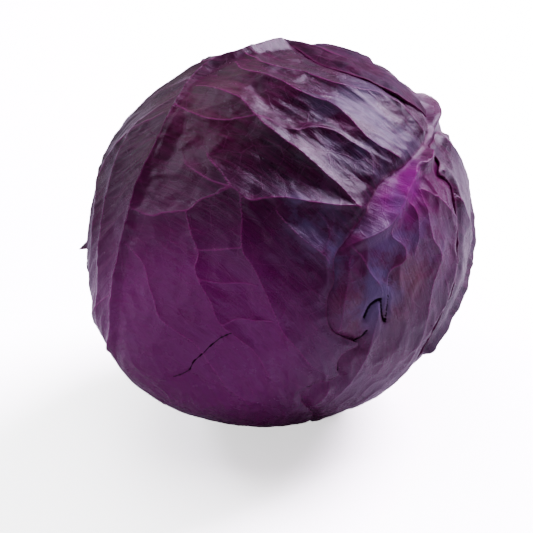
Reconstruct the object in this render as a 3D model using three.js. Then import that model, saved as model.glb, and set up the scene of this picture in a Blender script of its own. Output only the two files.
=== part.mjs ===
// A head of red cabbage, lying on its side as picked, with its cut stem up and to the back.
// It is an assembly: the cut stem, the heart of packed inner leaves, and seven wrapper leaves that
// overlap like shells. Each leaf is a thin closed solid with its own margin, midrib and side ribs.
//
// Millimetres and degrees, +Z up. The origin is the middle of the small flat spot it rests on.
//
// Places on the head are given as [azimuth, polar]: polar is the angle from the stem, so 0 is the
// stem and 180 the crown, and azimuth goes round the stem, from the midrib of the front leaf.

import * as THREE from "three";
import { ConvexHull } from "three/addons/math/ConvexHull.js";

// Size of the head
const AXIS_RADIUS = 86.5; // from the middle to the crown
const WAIST_RADIUS = 81.5; // from the middle to the side
const REST_HEIGHT = 79; // the middle above the flat spot
const STEM_HOLLOW = { depth: 5, spread: 13 }; // how far the leaf bases sink in round the stem, in degrees

// Thickness of the leaves, the air between them, and their ribs
const LAMINA = 0.9;
const LEAST_LAMINA = 0.6;
const LAYER_GAP = 0.5;
const LEAST_GAP = 0.35;
const HEART_SLACK = 4.6; // room for the places where a leaf stands off what is under it
const MIDRIB = { height: 4.2, foot: 5.5, baseHeight: 4.6, baseFoot: 9, taper: 0.5 };
const SIDE_RIB = { height: 2.3, foot: 5 };
const PRESSED = { from: -7, to: 3 }; // inside a covering leaf's margin, where ribs begin and end to sink
const MARGIN_THINS = 6; // ribs run out over this distance to the margin

// Stem
const STEM = { radius: 14, cutAt: 84, rootAt: 66, bevel: 1.2, sides: 24, clearance: 1.5 };
const LEAF_START = 15.6; // how near the leaf bases come to the stem's axis

// How the head lies: where the stem points, and where the front leaf's midrib faces
const STEM_POINTS = new THREE.Vector3(0.58, 0.674, 0.457);
const MIDRIB_FACES = new THREE.Vector3(-0.509, -0.139, 0.85);

// Spacing of the points that the surfaces are made of
const MARGIN_STEP = 6.5;
const RIB_STEP = 6.5;
const OPEN_STEP = 10.5;
const COVERED_STEP = 16;
const UNDERSIDE_STEP = 14;
const HEART_STEP = 12;
const OFF_MARGIN = 5.2; // other points stay this far inside a margin
const OFF_RIB = 4.4; // and this far from a rib's crest
const CROWDING = 0.62; // least distance between scattered points, as a share of their spacing
const MEAN_RADIUS = 83;

// How a leaf is laid: the distance round a point in which it rides on what is below, the points
// looked at there, and the rounds of pulling taut and of raising clear
const DRAPE = { reach: 3, samples: 6, rounds: 6 };

// Waves of the margin: two counts of waves round a leaf, and the share of the second
const MARGIN_WAVES = { slow: 11, quick: 23, quickShare: 0.6 };

// Side ribs by rule: their reach in degrees at the waist, how far they lean to the tip between the
// first and the last, and how much they wander
const RIB_FAN = { reach: 74, narrowest: 0.45, lean: [-4, 16], between: [20, 130], wander: 6 };

// Gentle swellings and hollows of the head's own shape: [azimuth, polar, height, spread in degrees]
const SWELLINGS = [
  [-62, 45, 2.0, 10],
  [-82, 50, -2.0, 7],
  [-20, 54, -3.6, 15],
  [22, 108, 2.6, 16],
  [0, 168, 8.5, 27],
  [-133, 123, -1.6, 16],
  [-60, 120, 1.0, 25],
  [160, 60, -1.5, 30],
  [100, 100, 1.0, 25],
];

const radians = THREE.MathUtils.degToRad;

function seededRandom(seed) {
  let state = seed;
  return () => {
    state = (state * 16807) % 2147483647;
    return state / 2147483647;
  };
}

// Unit vector of a place on the head, the stem being at -Z and the crown at +Z
function direction(azimuth, polar) {
  const a = radians(azimuth);
  const p = radians(polar);
  return new THREE.Vector3(Math.sin(p) * Math.cos(a), Math.sin(p) * Math.sin(a), -Math.cos(p));
}

// Turning of the whole head from its own axes to the way it lies
const crownPoints = STEM_POINTS.clone().normalize().negate();
const leaning = crownPoints.clone().multiplyScalar(MIDRIB_FACES.dot(crownPoints));
const faceAxis = MIDRIB_FACES.clone().sub(leaning).normalize();
const sideAxis = crownPoints.clone().cross(faceAxis);
const lie = new THREE.Matrix4().makeBasis(faceAxis, sideAxis, crownPoints);
const down = new THREE.Vector3(0, 0, -1).applyMatrix4(lie.clone().transpose());

function headRadius(d) {
  const along = d.z / AXIS_RADIUS;
  const across = Math.hypot(d.x, d.y) / WAIST_RADIUS;
  let radius = 1 / Math.hypot(along, across);
  for (const [azimuth, polar, height, spread] of SWELLINGS) {
    const apart = d.angleTo(direction(azimuth, polar)) / radians(spread);
    radius += height * Math.exp(-apart * apart);
  }
  const fromStem = Math.acos(THREE.MathUtils.clamp(-d.z, -1, 1)) / radians(STEM_HOLLOW.spread);
  return radius - STEM_HOLLOW.depth * Math.exp(-fromStem * fromStem);
}

// How far from the middle a leaf may reach along d, above the surface that the head rests on and
// the leaves that lie between
const floorRadius = (d, leavesBetween = 0) => {
  const reach = REST_HEIGHT - leavesBetween * (LAMINA + LAYER_GAP);
  return d.dot(down) > 0.2 ? reach / d.dot(down) : Infinity;
};
const onFlatSpot = (d) => headRadius(d) >= floorRadius(d);

// The flat map of one leaf: millimetres across and along it, on a sphere of the mean radius
class LeafMap {
  constructor(azimuth, polar) {
    this.middle = direction(azimuth, polar);
    this.along = direction(azimuth, polar + 90);
    this.across = this.along.clone().cross(this.middle);
  }

  toMap(d) {
    const angle = this.middle.angleTo(d);
    const scale = angle < 1e-9 ? MEAN_RADIUS : (MEAN_RADIUS * angle) / Math.sin(angle);
    return [d.dot(this.across) * scale, d.dot(this.along) * scale];
  }

  toDirection([x, y]) {
    const angle = Math.hypot(x, y) / MEAN_RADIUS;
    const share = angle < 1e-9 ? 0 : Math.sin(angle) / Math.hypot(x, y);
    return this.middle
      .clone()
      .multiplyScalar(Math.cos(angle))
      .addScaledVector(this.across, x * share)
      .addScaledVector(this.along, y * share)
      .normalize();
  }
}

// Points a step apart along a smooth curve through places on the head
function curveOnHead(places, closed, step) {
  const through = places.map(([azimuth, polar]) => direction(azimuth, polar));
  const curve = new THREE.CatmullRomCurve3(through, closed, "catmullrom", 0.5);
  const count = Math.round((curve.getLength() * MEAN_RADIUS) / step);
  const points = curve.getSpacedPoints(count).map((p) => p.normalize());
  return closed ? points.slice(0, -1) : points;
}

function insidePolygon([x, y], polygon) {
  let inside = false;
  polygon.forEach(([x1, y1], i) => {
    const [x2, y2] = polygon[(i + 1) % polygon.length];
    if (y1 > y !== y2 > y && x < x1 + ((y - y1) / (y2 - y1)) * (x2 - x1)) inside = !inside;
  });
  return inside;
}

function distanceToLine([x, y], line) {
  let best = { distance: Infinity, share: 0 };
  for (let i = 0; i + 1 < line.length; i++) {
    const [ax, ay] = line[i];
    const [bx, by] = line[i + 1];
    const length2 = (bx - ax) ** 2 + (by - ay) ** 2;
    const t = THREE.MathUtils.clamp(((x - ax) * (bx - ax) + (y - ay) * (by - ay)) / length2, 0, 1);
    const distance = Math.hypot(x - ax - t * (bx - ax), y - ay - t * (by - ay));
    if (distance < best.distance) best = { distance, share: (i + t) / (line.length - 1) };
  }
  return best;
}

// A surface round the middle of the head: directions, a radius for each, and triangles
class RadialSurface {
  constructor(directions, triangles) {
    this.directions = directions;
    this.triangles = triangles;
    this.radii = new Array(directions.length).fill(MEAN_RADIUS);
    this.cells = triangles.map(([i, j, k]) => {
      const [a, b, c] = [directions[i], directions[j], directions[k]];
      const size = a.dot(b.clone().cross(c));
      const centre = a.clone().add(b).add(c).normalize();
      const reach = Math.min(centre.dot(a), centre.dot(b), centre.dot(c)) - 1e-4;
      const faces = [b.clone().cross(c), c.clone().cross(a), a.clone().cross(b)];
      return { centre, reach, faces: faces.map((f) => f.divideScalar(size)) };
    });
  }

  // The triangle that d goes through and its three weights, or null
  find(d) {
    for (let t = 0; t < this.cells.length; t++) {
      const cell = this.cells[t];
      if (cell.centre.dot(d) < cell.reach) continue;
      const weights = cell.faces.map((f) => f.dot(d));
      if (Math.min(...weights) > -1e-6) return { corners: this.triangles[t], weights };
    }
    return null;
  }

  radiusAt(d) {
    const found = this.find(d);
    if (!found) return 0;
    return 1 / found.corners.reduce((sum, corner, i) => sum + found.weights[i] / this.radii[corner], 0);
  }

  neighbours() {
    const sets = this.directions.map(() => new Set());
    for (const [i, j, k] of this.triangles) {
      sets[i].add(j).add(k);
      sets[j].add(i).add(k);
      sets[k].add(i).add(j);
    }
    return sets.map((s) => [...s]);
  }

  // Corners and the middles of edges, as direction and radius
  samples() {
    const list = this.directions.map((d, i) => [d, this.radii[i]]);
    for (const [i, j, k] of this.triangles) {
      for (const [a, b] of [[i, j], [j, k], [k, i]]) {
        const point = this.directions[a].clone().multiplyScalar(this.radii[a]);
        point.addScaledVector(this.directions[b], this.radii[b]).multiplyScalar(0.5);
        const radius = point.length();
        list.push([point.divideScalar(radius), radius]);
      }
    }
    return list;
  }

  boundary() {
    const edges = new Map();
    for (const [i, j, k] of this.triangles) {
      for (const [a, b] of [[i, j], [j, k], [k, i]]) edges.set(a + "," + b, [a, b]);
    }
    return [...edges.values()].filter(([a, b]) => !edges.has(b + "," + a));
  }
}

// Triangles between points on the unit sphere: the faces of their convex hull, facing out
function trianglesBetween(directions) {
  const points = directions.map((d) => d.clone());
  const index = new Map(points.map((p, i) => [p, i]));
  return new ConvexHull().setFromPoints(points).faces.map((face) => {
    const corners = [face.edge, face.edge.next, face.edge.next.next];
    return corners.map((edge) => index.get(edge.head().point));
  });
}

// Evenly spread directions over the whole sphere, about a step apart
function evenDirections(step) {
  const count = Math.round((4 * Math.PI * MEAN_RADIUS ** 2) / (0.87 * step * step));
  const goldenTurn = Math.PI * (3 - Math.sqrt(5));
  return Array.from({ length: count }, (_, i) => {
    const z = 1 - (2 * i + 1) / count;
    const across = Math.sqrt(1 - z * z);
    return new THREE.Vector3(across * Math.cos(i * goldenTurn), across * Math.sin(i * goldenTurn), z);
  });
}

// The wrapper leaves, outermost first. Azimuths of margins and ribs are counted from the midrib.
// lifts are spots where the margin stands off: [azimuth, polar, height, spread in mm].
const LEAVES = [
  {
    name: "back_leaf",
    azimuth: 85,
    middle: 66,
    margin: [
      [-28, 17], [-70, 22], [-118, 30], [-150, 37], [-158, 42], [-147, 46], [-130, 48.5], [-112, 49],
      [-96, 47], [-82, 46], [-66, 50], [-50, 58], [-38, 72], [-26, 92], [-12, 110], [4, 118],
      [20, 113], [33, 100], [43, 84], [47, 66], [44, 48], [38, 32], [28, 18],
    ],
    lifts: [[-150, 42, 1.0, 12], [-4, 116, 1.2, 16]],
    sideRibs: { left: [26, 34, 44, 62, 82], right: [30, 48, 68, 88] },
    waves: 1.0,
    seed: 11,
  },
  {
    name: "side_leaf",
    azimuth: -137,
    middle: 60,
    margin: [
      [-28, 17], [-48, 30], [-62, 46], [-70, 62], [-72, 78], [-64, 88], [-48, 91], [-30, 92], [-16, 96],
      [-4, 97], [6, 92], [16, 80], [27, 69], [38, 61], [44, 57], [51, 60], [53, 55], [59, 53],
      [54, 42], [40, 30], [28, 17],
    ],
    lifts: [[53, 57, 1.6, 10], [-4, 96, 1.2, 16]],
    sideRibs: { left: [30, 50, 68], right: [26, 40, 56] },
    waves: 0.8,
    seed: 23,
  },
  {
    name: "front_leaf",
    azimuth: 0,
    middle: 104,
    margin: [
      [-28, 17], [-50, 27], [-68, 38], [-75.5, 48], [-74.5, 59], [-71, 73], [-69, 80], [-71, 92],
      [-71.5, 101], [-72.5, 107], [-78, 112], [-81, 117], [-89, 121], [-94, 120.5], [-99, 118],
      [-102, 117], [-103, 122.5], [-108.5, 125.7], [-113.5, 126.5], [-112.5, 133], [-116, 137.5],
      [-123, 139], [-142, 147], [-165, 151], [172, 153], [135, 150], [103, 147], [76, 146],
      [58, 144], [51, 138], [46, 130], [50, 118], [53, 100], [56, 80], [54, 60], [46, 42], [28, 17],
    ],
    lifts: [[49, 134, 3.5, 5], [-103, 118, 1.2, 8]],
    midrib: [[0, 17], [-1, 61], [5, 76], [6, 88], [1, 110], [-2, 125], [-1, 144], [3, 152]],
    ribs: [
      [[-4, 62], [-17, 66], [-36, 63], [-55, 56], [-72, 54]],
      [[-4, 66], [-22, 72.5], [-38, 73], [-58, 71.5], [-68, 71]],
      [[-3, 80], [-13, 85], [-29, 89], [-46, 91], [-66, 91]],
      [[-4, 104], [-19, 110], [-36, 110], [-48, 105], [-67, 92.5]],
      [
        [-3, 122], [-15, 125.5], [-25, 122], [-36.5, 110.5], [-48, 121.5], [-60, 126], [-75, 132],
        [-98, 132], [-108, 127.5],
      ],
      [[-25, 122], [-34, 129.6], [-47, 136.7], [-59, 142], [-79, 141.5], [-95, 143]],
      [[-6, 133], [-21, 143.6], [-42, 151.4], [-64, 153.3], [-91, 154.7], [-113, 147]],
      [[-52, 108], [-66, 109], [-71, 109.5]],
      [[3, 66], [14, 72], [28, 88], [38, 104], [44, 118]],
      [[3, 92], [14, 104], [27, 124], [42, 138]],
      [[4, 122], [16, 138], [36, 149], [60, 151]],
      [[3, 70], [20, 66], [40, 68], [52, 74]],
    ],
    waves: 0,
    seed: 37,
  },
  {
    name: "lower_leaf",
    azimuth: 137.5,
    middle: 104,
    margin: [
      [-28, 17], [-46, 36], [-58, 56], [-63, 78], [-62, 100], [-58, 122], [-52, 142], [-38, 156],
      [-6, 162], [22, 158], [40, 148], [52, 134], [57, 116], [57, 96], [54, 74], [50, 54], [44, 36],
      [28, 17],
    ],
    lifts: [[-60, 110, 1.5, 20], [56, 110, 1.2, 18]],
    sideRibs: { left: [30, 48, 66, 84, 104, 126], right: [34, 54, 74, 96, 120] },
    waves: 1.2,
    seed: 41,
  },
  {
    name: "right_leaf",
    azimuth: -78,
    middle: 98,
    margin: [
      [28, 17], [36, 40], [40, 62], [42, 88], [40, 112], [32, 134], [10, 150], [-30, 157],
      [-58, 151], [-72, 138], [-76, 118], [-76, 98], [-72, 78], [-62, 58], [-48, 38], [-28, 17],
    ],
    lifts: [[-74, 110, 1.2, 18]],
    ribs: [
      [[-1, 64], [-3, 71], [-9, 82], [-12, 92], [-11, 97], [-17, 103]],
      [[-3, 71], [-14.5, 68.5], [-30, 64], [-50, 62]],
      [[-2, 92], [7, 101], [-7, 102.5], [-17, 104]],
      [[-12, 92], [-28, 96], [-42, 103], [-54, 108], [-66, 112]],
      [[-8, 78], [-19, 81], [-27, 87], [-33, 95], [-43, 105], [-55, 118], [-60, 132]],
      [[-28, 64], [-42, 76], [-56, 90], [-66, 100]],
      [[2, 104], [-12, 116], [-27, 124], [-44, 130], [-56, 142]],
      [[-27, 124], [-33, 134], [-44, 144]],
    ],
    waves: 1.0,
    seed: 53,
  },
  {
    name: "left_leaf",
    azimuth: 54,
    middle: 98,
    margin: [
      [-28, 17], [-40, 38], [-44, 62], [-44, 90], [-42, 116], [-34, 138], [-10, 152], [16, 150],
      [34, 138], [42, 118], [46, 92], [46, 66], [42, 42], [28, 17],
    ],
    lifts: [],
    sideRibs: { left: [40, 70, 100, 124], right: [50, 76, 100, 122] },
    waves: 1.2,
    seed: 67,
  },
  {
    name: "rear_leaf",
    azimuth: -166,
    middle: 98,
    margin: [
      [-28, 17], [-40, 40], [-44, 66], [-44, 92], [-42, 118], [-34, 140], [-8, 154], [20, 152],
      [38, 140], [46, 118], [48, 92], [46, 66], [40, 40], [28, 17],
    ],
    lifts: [],
    sideRibs: { left: [60, 90, 118], right: [56, 84, 108, 130] },
    waves: 1.2,
    seed: 79,
  },
];

// Margin with seeded waves, in the leaf's own map
function marginLine(leaf, map) {
  const random = seededRandom(leaf.seed);
  const places = leaf.margin.map(([azimuth, polar]) => [leaf.azimuth + azimuth, polar]);
  const points = curveOnHead(places, true, MARGIN_STEP).map((d) => map.toMap(d));
  const phases = [random() * 6, random() * 6];
  const wavy = points.map(([x, y], i) => {
    const turn = (2 * Math.PI * i) / points.length;
    const slow = Math.sin(MARGIN_WAVES.slow * turn + phases[0]);
    const quick = MARGIN_WAVES.quickShare * Math.sin(MARGIN_WAVES.quick * turn + phases[1]);
    const scale = 1 + (leaf.waves * (slow + quick)) / Math.hypot(x, y);
    return [x * scale, y * scale];
  });
  return wavy.map((point) => keepOffStem(point, map));
}

// The base of a leaf keeps its distance from the stem
function keepOffStem(point, map) {
  const d = map.toDirection(point);
  const nearest = Math.asin(LEAF_START / (AXIS_RADIUS - STEM_HOLLOW.depth));
  if (Math.acos(-d.z) >= nearest) return point;
  const azimuth = THREE.MathUtils.radToDeg(Math.atan2(d.y, d.x));
  return map.toMap(direction(azimuth, THREE.MathUtils.radToDeg(nearest)));
}

// Side ribs by rule: they leave the midrib nearly square at the base and lean to the tip further on
function sideRibPlaces(leaf) {
  const random = seededRandom(leaf.seed * 7);
  const ribs = [];
  for (const [side, starts] of [[-1, leaf.sideRibs.left], [1, leaf.sideRibs.right]]) {
    for (const start of starts) {
      const lean = THREE.MathUtils.mapLinear(start, ...RIB_FAN.between, ...RIB_FAN.lean) + 3 * random();
      const places = [0.05, 0.28, 0.52, 0.78, 1.02].map((reach) => {
        const wander = RIB_FAN.wander * Math.sin(2.5 * reach + 3 * random());
        const polar = start + (lean + wander) * reach;
        const width = Math.max(RIB_FAN.narrowest, Math.sin(radians(polar)));
        return [(side * RIB_FAN.reach * reach) / width, polar];
      });
      ribs.push(places);
    }
  }
  return ribs;
}

// Everything about one leaf that is drawn on its map before it is laid on the head
class Leaf {
  constructor(spec) {
    this.spec = spec;
    this.name = spec.name;
    this.map = new LeafMap(spec.azimuth, spec.middle);
    this.margin = marginLine(spec, this.map);
    this.midrib = this.line(spec.midrib ?? [[0, 17], [0, 60], [0, 110], [0, 150]]);
    this.ribs = (spec.ribs ?? sideRibPlaces(spec)).map((places) => this.line(places));
    this.lifts = spec.lifts.map(([azimuth, polar, height, spread]) => {
      const at = this.map.toMap(direction(spec.azimuth + azimuth, polar));
      return { at, height, spread };
    });
  }

  line(places) {
    const onHead = places.map(([azimuth, polar]) => [this.spec.azimuth + azimuth, polar]);
    return curveOnHead(onHead, false, RIB_STEP).map((d) => this.map.toMap(d));
  }

  covers(d) {
    return insidePolygon(this.map.toMap(d), this.margin);
  }

  fromMargin(point) {
    return distanceToLine(point, [...this.margin, this.margin[0]]).distance;
  }

  // Height of ribs and of the tent of leaf they hold up, above the plain lamina
  relief(point) {
    const middle = distanceToLine(point, this.midrib);
    const taper = 1 - MIDRIB.taper * middle.share;
    const nearBase = Math.max(0, 1 - 4 * middle.share);
    const foot = (MIDRIB.foot + (MIDRIB.baseFoot - MIDRIB.foot) * nearBase) * (0.6 + 0.4 * taper);
    const crest = MIDRIB.height * taper + (MIDRIB.baseHeight - MIDRIB.height) * nearBase;
    let height = crest * Math.max(0, 1 - middle.distance / foot) ** 1.3;
    for (const rib of this.ribs) {
      const near = distanceToLine(point, rib);
      const swell = SIDE_RIB.height * (0.4 + 0.6 * Math.sin(Math.PI * (0.08 + 0.84 * near.share)));
      const tent = Math.max(0, 1 - near.distance / (2 * SIDE_RIB.foot)) ** 1.6;
      height = Math.max(height, swell * tent);
    }
    return height * THREE.MathUtils.smoothstep(this.fromMargin(point), 0, MARGIN_THINS);
  }

  lift(point) {
    return this.lifts.reduce((sum, { at, height, spread }) => {
      const apart = Math.hypot(point[0] - at[0], point[1] - at[1]) / spread;
      return sum + height * Math.exp(-apart * apart);
    }, 0);
  }
}

// Adds the points of a list that keep a distance from those already there
function addSpaced(points, more, distance) {
  for (const point of more) {
    const clear = points.every(([x, y]) => Math.hypot(x - point[0], y - point[1]) >= distance);
    if (clear) points.push(point);
  }
}

// A leaf's surface as a net of triangles inside its margin. Points in a ring outside it and on the
// far side of the head close the net all round, and their triangles are dropped.
function netInside(leaf, points) {
  const inside = points.map((point) => leaf.map.toDirection(point));
  const clear = (d) => !leaf.covers(d) && leaf.fromMargin(leaf.map.toMap(d)) > 2 * MARGIN_STEP;
  const behind = evenDirections(3 * HEART_STEP).filter((d) => leaf.map.middle.dot(d) < 0.2 && clear(d));
  const ring = leaf.margin.map(([x, y]) => {
    const scale = 1 + (1.4 * MARGIN_STEP) / Math.hypot(x, y);
    return [x * scale, y * scale];
  });
  const outside = ring.filter((p) => !insidePolygon(p, leaf.margin) && leaf.fromMargin(p) > OFF_MARGIN);
  const all = [...inside, ...outside.map((p) => leaf.map.toDirection(p)), ...behind];
  const kept = trianglesBetween(all).filter((corners) => {
    if (corners.some((i) => i >= inside.length)) return false;
    const centre = corners.reduce((sum, i) => sum.add(all[i]), new THREE.Vector3()).normalize();
    return leaf.covers(centre);
  });
  return new RadialSurface(inside, kept);
}

// How far inside the margins of the leaves above it a place lies, less than 0 where it is open
function depthUnder(outerLeaves, d) {
  return Math.max(
    -Infinity,
    ...outerLeaves.map((leaf) => {
      const distance = leaf.fromMargin(leaf.map.toMap(d));
      return leaf.covers(d) ? distance : -distance;
    }),
  );
}

function outerNet(leaf, outerLeaves) {
  const covered = (point) => depthUnder(outerLeaves, leaf.map.toDirection(point)) > PRESSED.to;
  const lines = [leaf.midrib, ...leaf.ribs];
  const offRibs = (point) => lines.every((line) => distanceToLine(point, line).distance > OFF_RIB);
  const flat = (point) => onFlatSpot(leaf.map.toDirection(point));
  const open = (list) => insideMargin(list, leaf).filter((p) => !covered(p) && !flat(p));
  const ribFeet = leaf.ribs.map((rib) => besideLine(rib, SIDE_RIB.foot));
  const feet = [besideLine(leaf.midrib, MIDRIB.foot), ...ribFeet];
  const points = [...leaf.margin];
  for (const line of lines) addSpaced(points, open(line), OFF_RIB);
  for (const foot of feet) addSpaced(points, open(foot).filter(offRibs), OFF_RIB);
  const plain = insideMargin(evenPoints(leaf, OPEN_STEP), leaf);
  addSpaced(points, plain.filter((p) => !covered(p) && offRibs(p)), CROWDING * OPEN_STEP);
  const hidden = insideMargin(evenPoints(leaf, COVERED_STEP), leaf);
  addSpaced(points, hidden.filter(covered), CROWDING * COVERED_STEP);
  return netInside(leaf, points);
}

const evenPoints = (leaf, step) => evenDirections(step).map((d) => leaf.map.toMap(d));

function insideMargin(points, leaf) {
  return points.filter((p) => insidePolygon(p, leaf.margin) && leaf.fromMargin(p) > OFF_MARGIN);
}

// Points on both sides of a line, level with the middles of its pieces
function besideLine(line, distance) {
  return line.slice(0, -1).flatMap(([x, y], i) => {
    const [nx, ny] = line[i + 1];
    const length = Math.hypot(nx - x, ny - y);
    const [sx, sy] = [(-(ny - y) * distance) / length, ((nx - x) * distance) / length];
    const [mx, my] = [(x + nx) / 2, (y + ny) / 2];
    return [[mx + sx, my + sy], [mx - sx, my - sy]];
  });
}

function innerNet(leaf) {
  const points = [...leaf.margin];
  addSpaced(points, insideMargin(evenPoints(leaf, UNDERSIDE_STEP), leaf), CROWDING * UNDERSIDE_STEP);
  return netInside(leaf, points);
}

// Highest of the surfaces already laid, along d
const topOf = (surfaces, d) => Math.max(...surfaces.map((s) => s.radiusAt(d)));

// Directions round d, a distance away on the head
function ringAround(d, distance, count) {
  const aside = new THREE.Vector3(0, 0, 1).cross(d);
  if (aside.length() < 1e-3) aside.set(1, 0, 0);
  aside.normalize();
  const other = d.clone().cross(aside);
  return Array.from({ length: count }, (_, i) => {
    const turn = (2 * Math.PI * i) / count;
    const shift = distance / MEAN_RADIUS;
    return d
      .clone()
      .addScaledVector(aside, shift * Math.cos(turn))
      .addScaledVector(other, shift * Math.sin(turn))
      .normalize();
  });
}

// Lays the underside of a leaf over what is below it, taut across the steps between layers
function drape(surface, below) {
  const needed = surface.directions.map((d) => {
    const samples = [d, ...ringAround(d, DRAPE.reach, DRAPE.samples)];
    return Math.max(...samples.map((s) => topOf(below, s))) + LAYER_GAP;
  });
  const beside = surface.neighbours();
  surface.radii = [...needed];
  for (let round = 0; round < DRAPE.rounds; round++) {
    surface.radii = surface.radii.map((_, i) => {
      const mean = beside[i].reduce((sum, j) => sum + surface.radii[j], 0) / beside[i].length;
      return Math.max(needed[i], mean);
    });
  }
  raiseClear(surface, below);
}

// Raises the corners of facets that come too near what is below
function raiseClear(surface, below) {
  const samples = below.flatMap((s) => s.samples());
  for (let round = 0; round < DRAPE.rounds; round++) {
    let moved = false;
    for (const [d, radius] of samples) {
      const found = surface.find(d);
      if (!found) continue;
      const short = radius + LEAST_GAP - surface.radiusAt(d);
      if (short <= 1e-3) continue;
      for (const corner of found.corners) surface.radii[corner] += short;
      moved = true;
    }
    for (const [d, radius] of surface.samples()) {
      const short = topOf(below, d) + LEAST_GAP - radius;
      if (short <= 1e-3) continue;
      for (const corner of surface.find(d)?.corners ?? []) surface.radii[corner] += short;
      moved = true;
    }
    if (!moved) return;
  }
}

// The outer face of a leaf: its thickness, ribs and lifted margins on top of its underside
function dress(outer, inner, leaf, outerLeaves) {
  outer.radii = outer.directions.map((d, i) => {
    const base = i < leaf.margin.length ? inner.radii[i] : inner.radiusAt(d);
    const leavesBetween = outerLeaves.filter((other) => other.covers(d)).length;
    const floor = floorRadius(d, leavesBetween);
    if (leavesBetween === 0 && onFlatSpot(d)) return floor;
    const open = 1 - THREE.MathUtils.smoothstep(depthUnder(outerLeaves, d), PRESSED.from, PRESSED.to);
    const radius = base + LAMINA + open * leaf.relief(leaf.map.toMap(d));
    return Math.max(Math.min(radius, floor), base + LEAST_LAMINA);
  });
  thicken(outer, inner);
  outer.radii = outer.radii.map((radius, i) => Math.min(radius, floorRadius(outer.directions[i])));
}

// Raises the corners of outer facets that come too near the underside
function thicken(outer, inner) {
  for (const [d, radius] of inner.samples()) {
    const found = outer.find(d);
    if (!found || onFlatSpot(d)) continue;
    const short = radius + LEAST_LAMINA - outer.radiusAt(d);
    if (short > 0) for (const corner of found.corners) outer.radii[corner] += short;
  }
}

// A closed solid from an outer face, an underside and the wall between their margins
function closedSolid(outer, inner) {
  const corners = [];
  const at = (surface, i) => surface.directions[i].clone().multiplyScalar(surface.radii[i]);
  for (const [i, j, k] of outer.triangles) corners.push(at(outer, i), at(outer, j), at(outer, k));
  if (inner) {
    for (const [i, j, k] of inner.triangles) corners.push(at(inner, i), at(inner, k), at(inner, j));
    for (const [a, b] of outer.boundary()) {
      corners.push(at(outer, b), at(outer, a), at(inner, a));
      corners.push(at(outer, b), at(inner, a), at(inner, b));
    }
  }
  return new THREE.BufferGeometry().setFromPoints(corners);
}

function meshOf(name, geometry, colour, roughness) {
  geometry.computeVertexNormals();
  const material = new THREE.MeshStandardMaterial({ color: colour, roughness, metalness: 0 });
  const mesh = new THREE.Mesh(geometry, material);
  mesh.name = name;
  return mesh;
}

// How many leaves lie over each place, softened over a few millimetres
function layersOver(d, leaves) {
  const places = [d, ...ringAround(d, 5, 6), ...ringAround(d, 10, 8)];
  const counts = places.map((p) => leaves.filter((leaf) => leaf.covers(p)).length);
  return counts.reduce((sum, count) => sum + count, 0) / counts.length;
}

// The heart: all the inner leaves, packed tight into one dense body
function heartSurface(leaves) {
  const directions = evenDirections(HEART_STEP);
  const heart = new RadialSurface(directions, trianglesBetween(directions));
  heart.radii = directions.map((d) => {
    const layers = layersOver(d, leaves) * (LAMINA + LAYER_GAP) + HEART_SLACK;
    const free = headRadius(d) - layers;
    const onFloor = floorRadius(d) - layers / Math.max(0.2, d.dot(down));
    const seat = d.z < -0.9 ? (STEM.rootAt - STEM.clearance) / -d.z : Infinity;
    return Math.min(free, onFloor, seat);
  });
  return heart;
}

function stemGeometry() {
  const { radius, cutAt, rootAt, bevel, sides } = STEM;
  const profile = [
    [0, -cutAt], [radius - bevel, -cutAt], [radius, -cutAt + bevel], [radius - 0.6, -cutAt + 6],
    [radius, -(cutAt + rootAt) / 2], [radius - 2.5, -rootAt - 2], [radius - 5, -rootAt], [0, -rootAt],
  ];
  const points = profile.map(([r, z]) => new THREE.Vector2(r, z));
  return new THREE.LatheGeometry(points, sides).rotateX(Math.PI / 2);
}

const leaves = LEAVES.map((spec) => new Leaf(spec));
const heart = heartSurface(leaves);
const head = new THREE.Group();
head.add(meshOf("heart", closedSolid(heart), 0x5a2350, 0.55));
head.add(meshOf("stem", stemGeometry(), 0xcbb7a8, 0.7));

const laid = [heart];
for (const leaf of [...leaves].reverse()) {
  const outerLeaves = leaves.slice(0, leaves.indexOf(leaf));
  const inner = innerNet(leaf);
  drape(inner, laid);
  inner.directions.forEach((d, i) => {
    inner.radii[i] += leaf.lift(leaf.map.toMap(d));
  });
  const outer = outerNet(leaf, outerLeaves);
  dress(outer, inner, leaf, outerLeaves);
  laid.push(outer);
  head.add(meshOf(leaf.name, closedSolid(outer, inner), 0x47153f, 0.4));
}

head.applyMatrix4(lie);
head.position.set(0, 0, REST_HEIGHT);

const cabbage = new THREE.Group();
cabbage.add(head);

export default cabbage;
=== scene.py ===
"""The looks of a head of red cabbage lying on its side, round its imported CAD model.

Blender works in metres here. The leaves are laid out in millimetres and degrees: a place on the
head is (azimuth, polar), polar being the angle from the stem, so 0 is the stem and 180 the crown,
and azimuth goes round the stem from the midrib of the front leaf.
"""

import logging
import math
from collections.abc import Callable
from dataclasses import dataclass
from enum import Enum
from typing import Union

import bmesh
import bpy
import numpy as np
from mathutils import Matrix, Vector, noise


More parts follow.
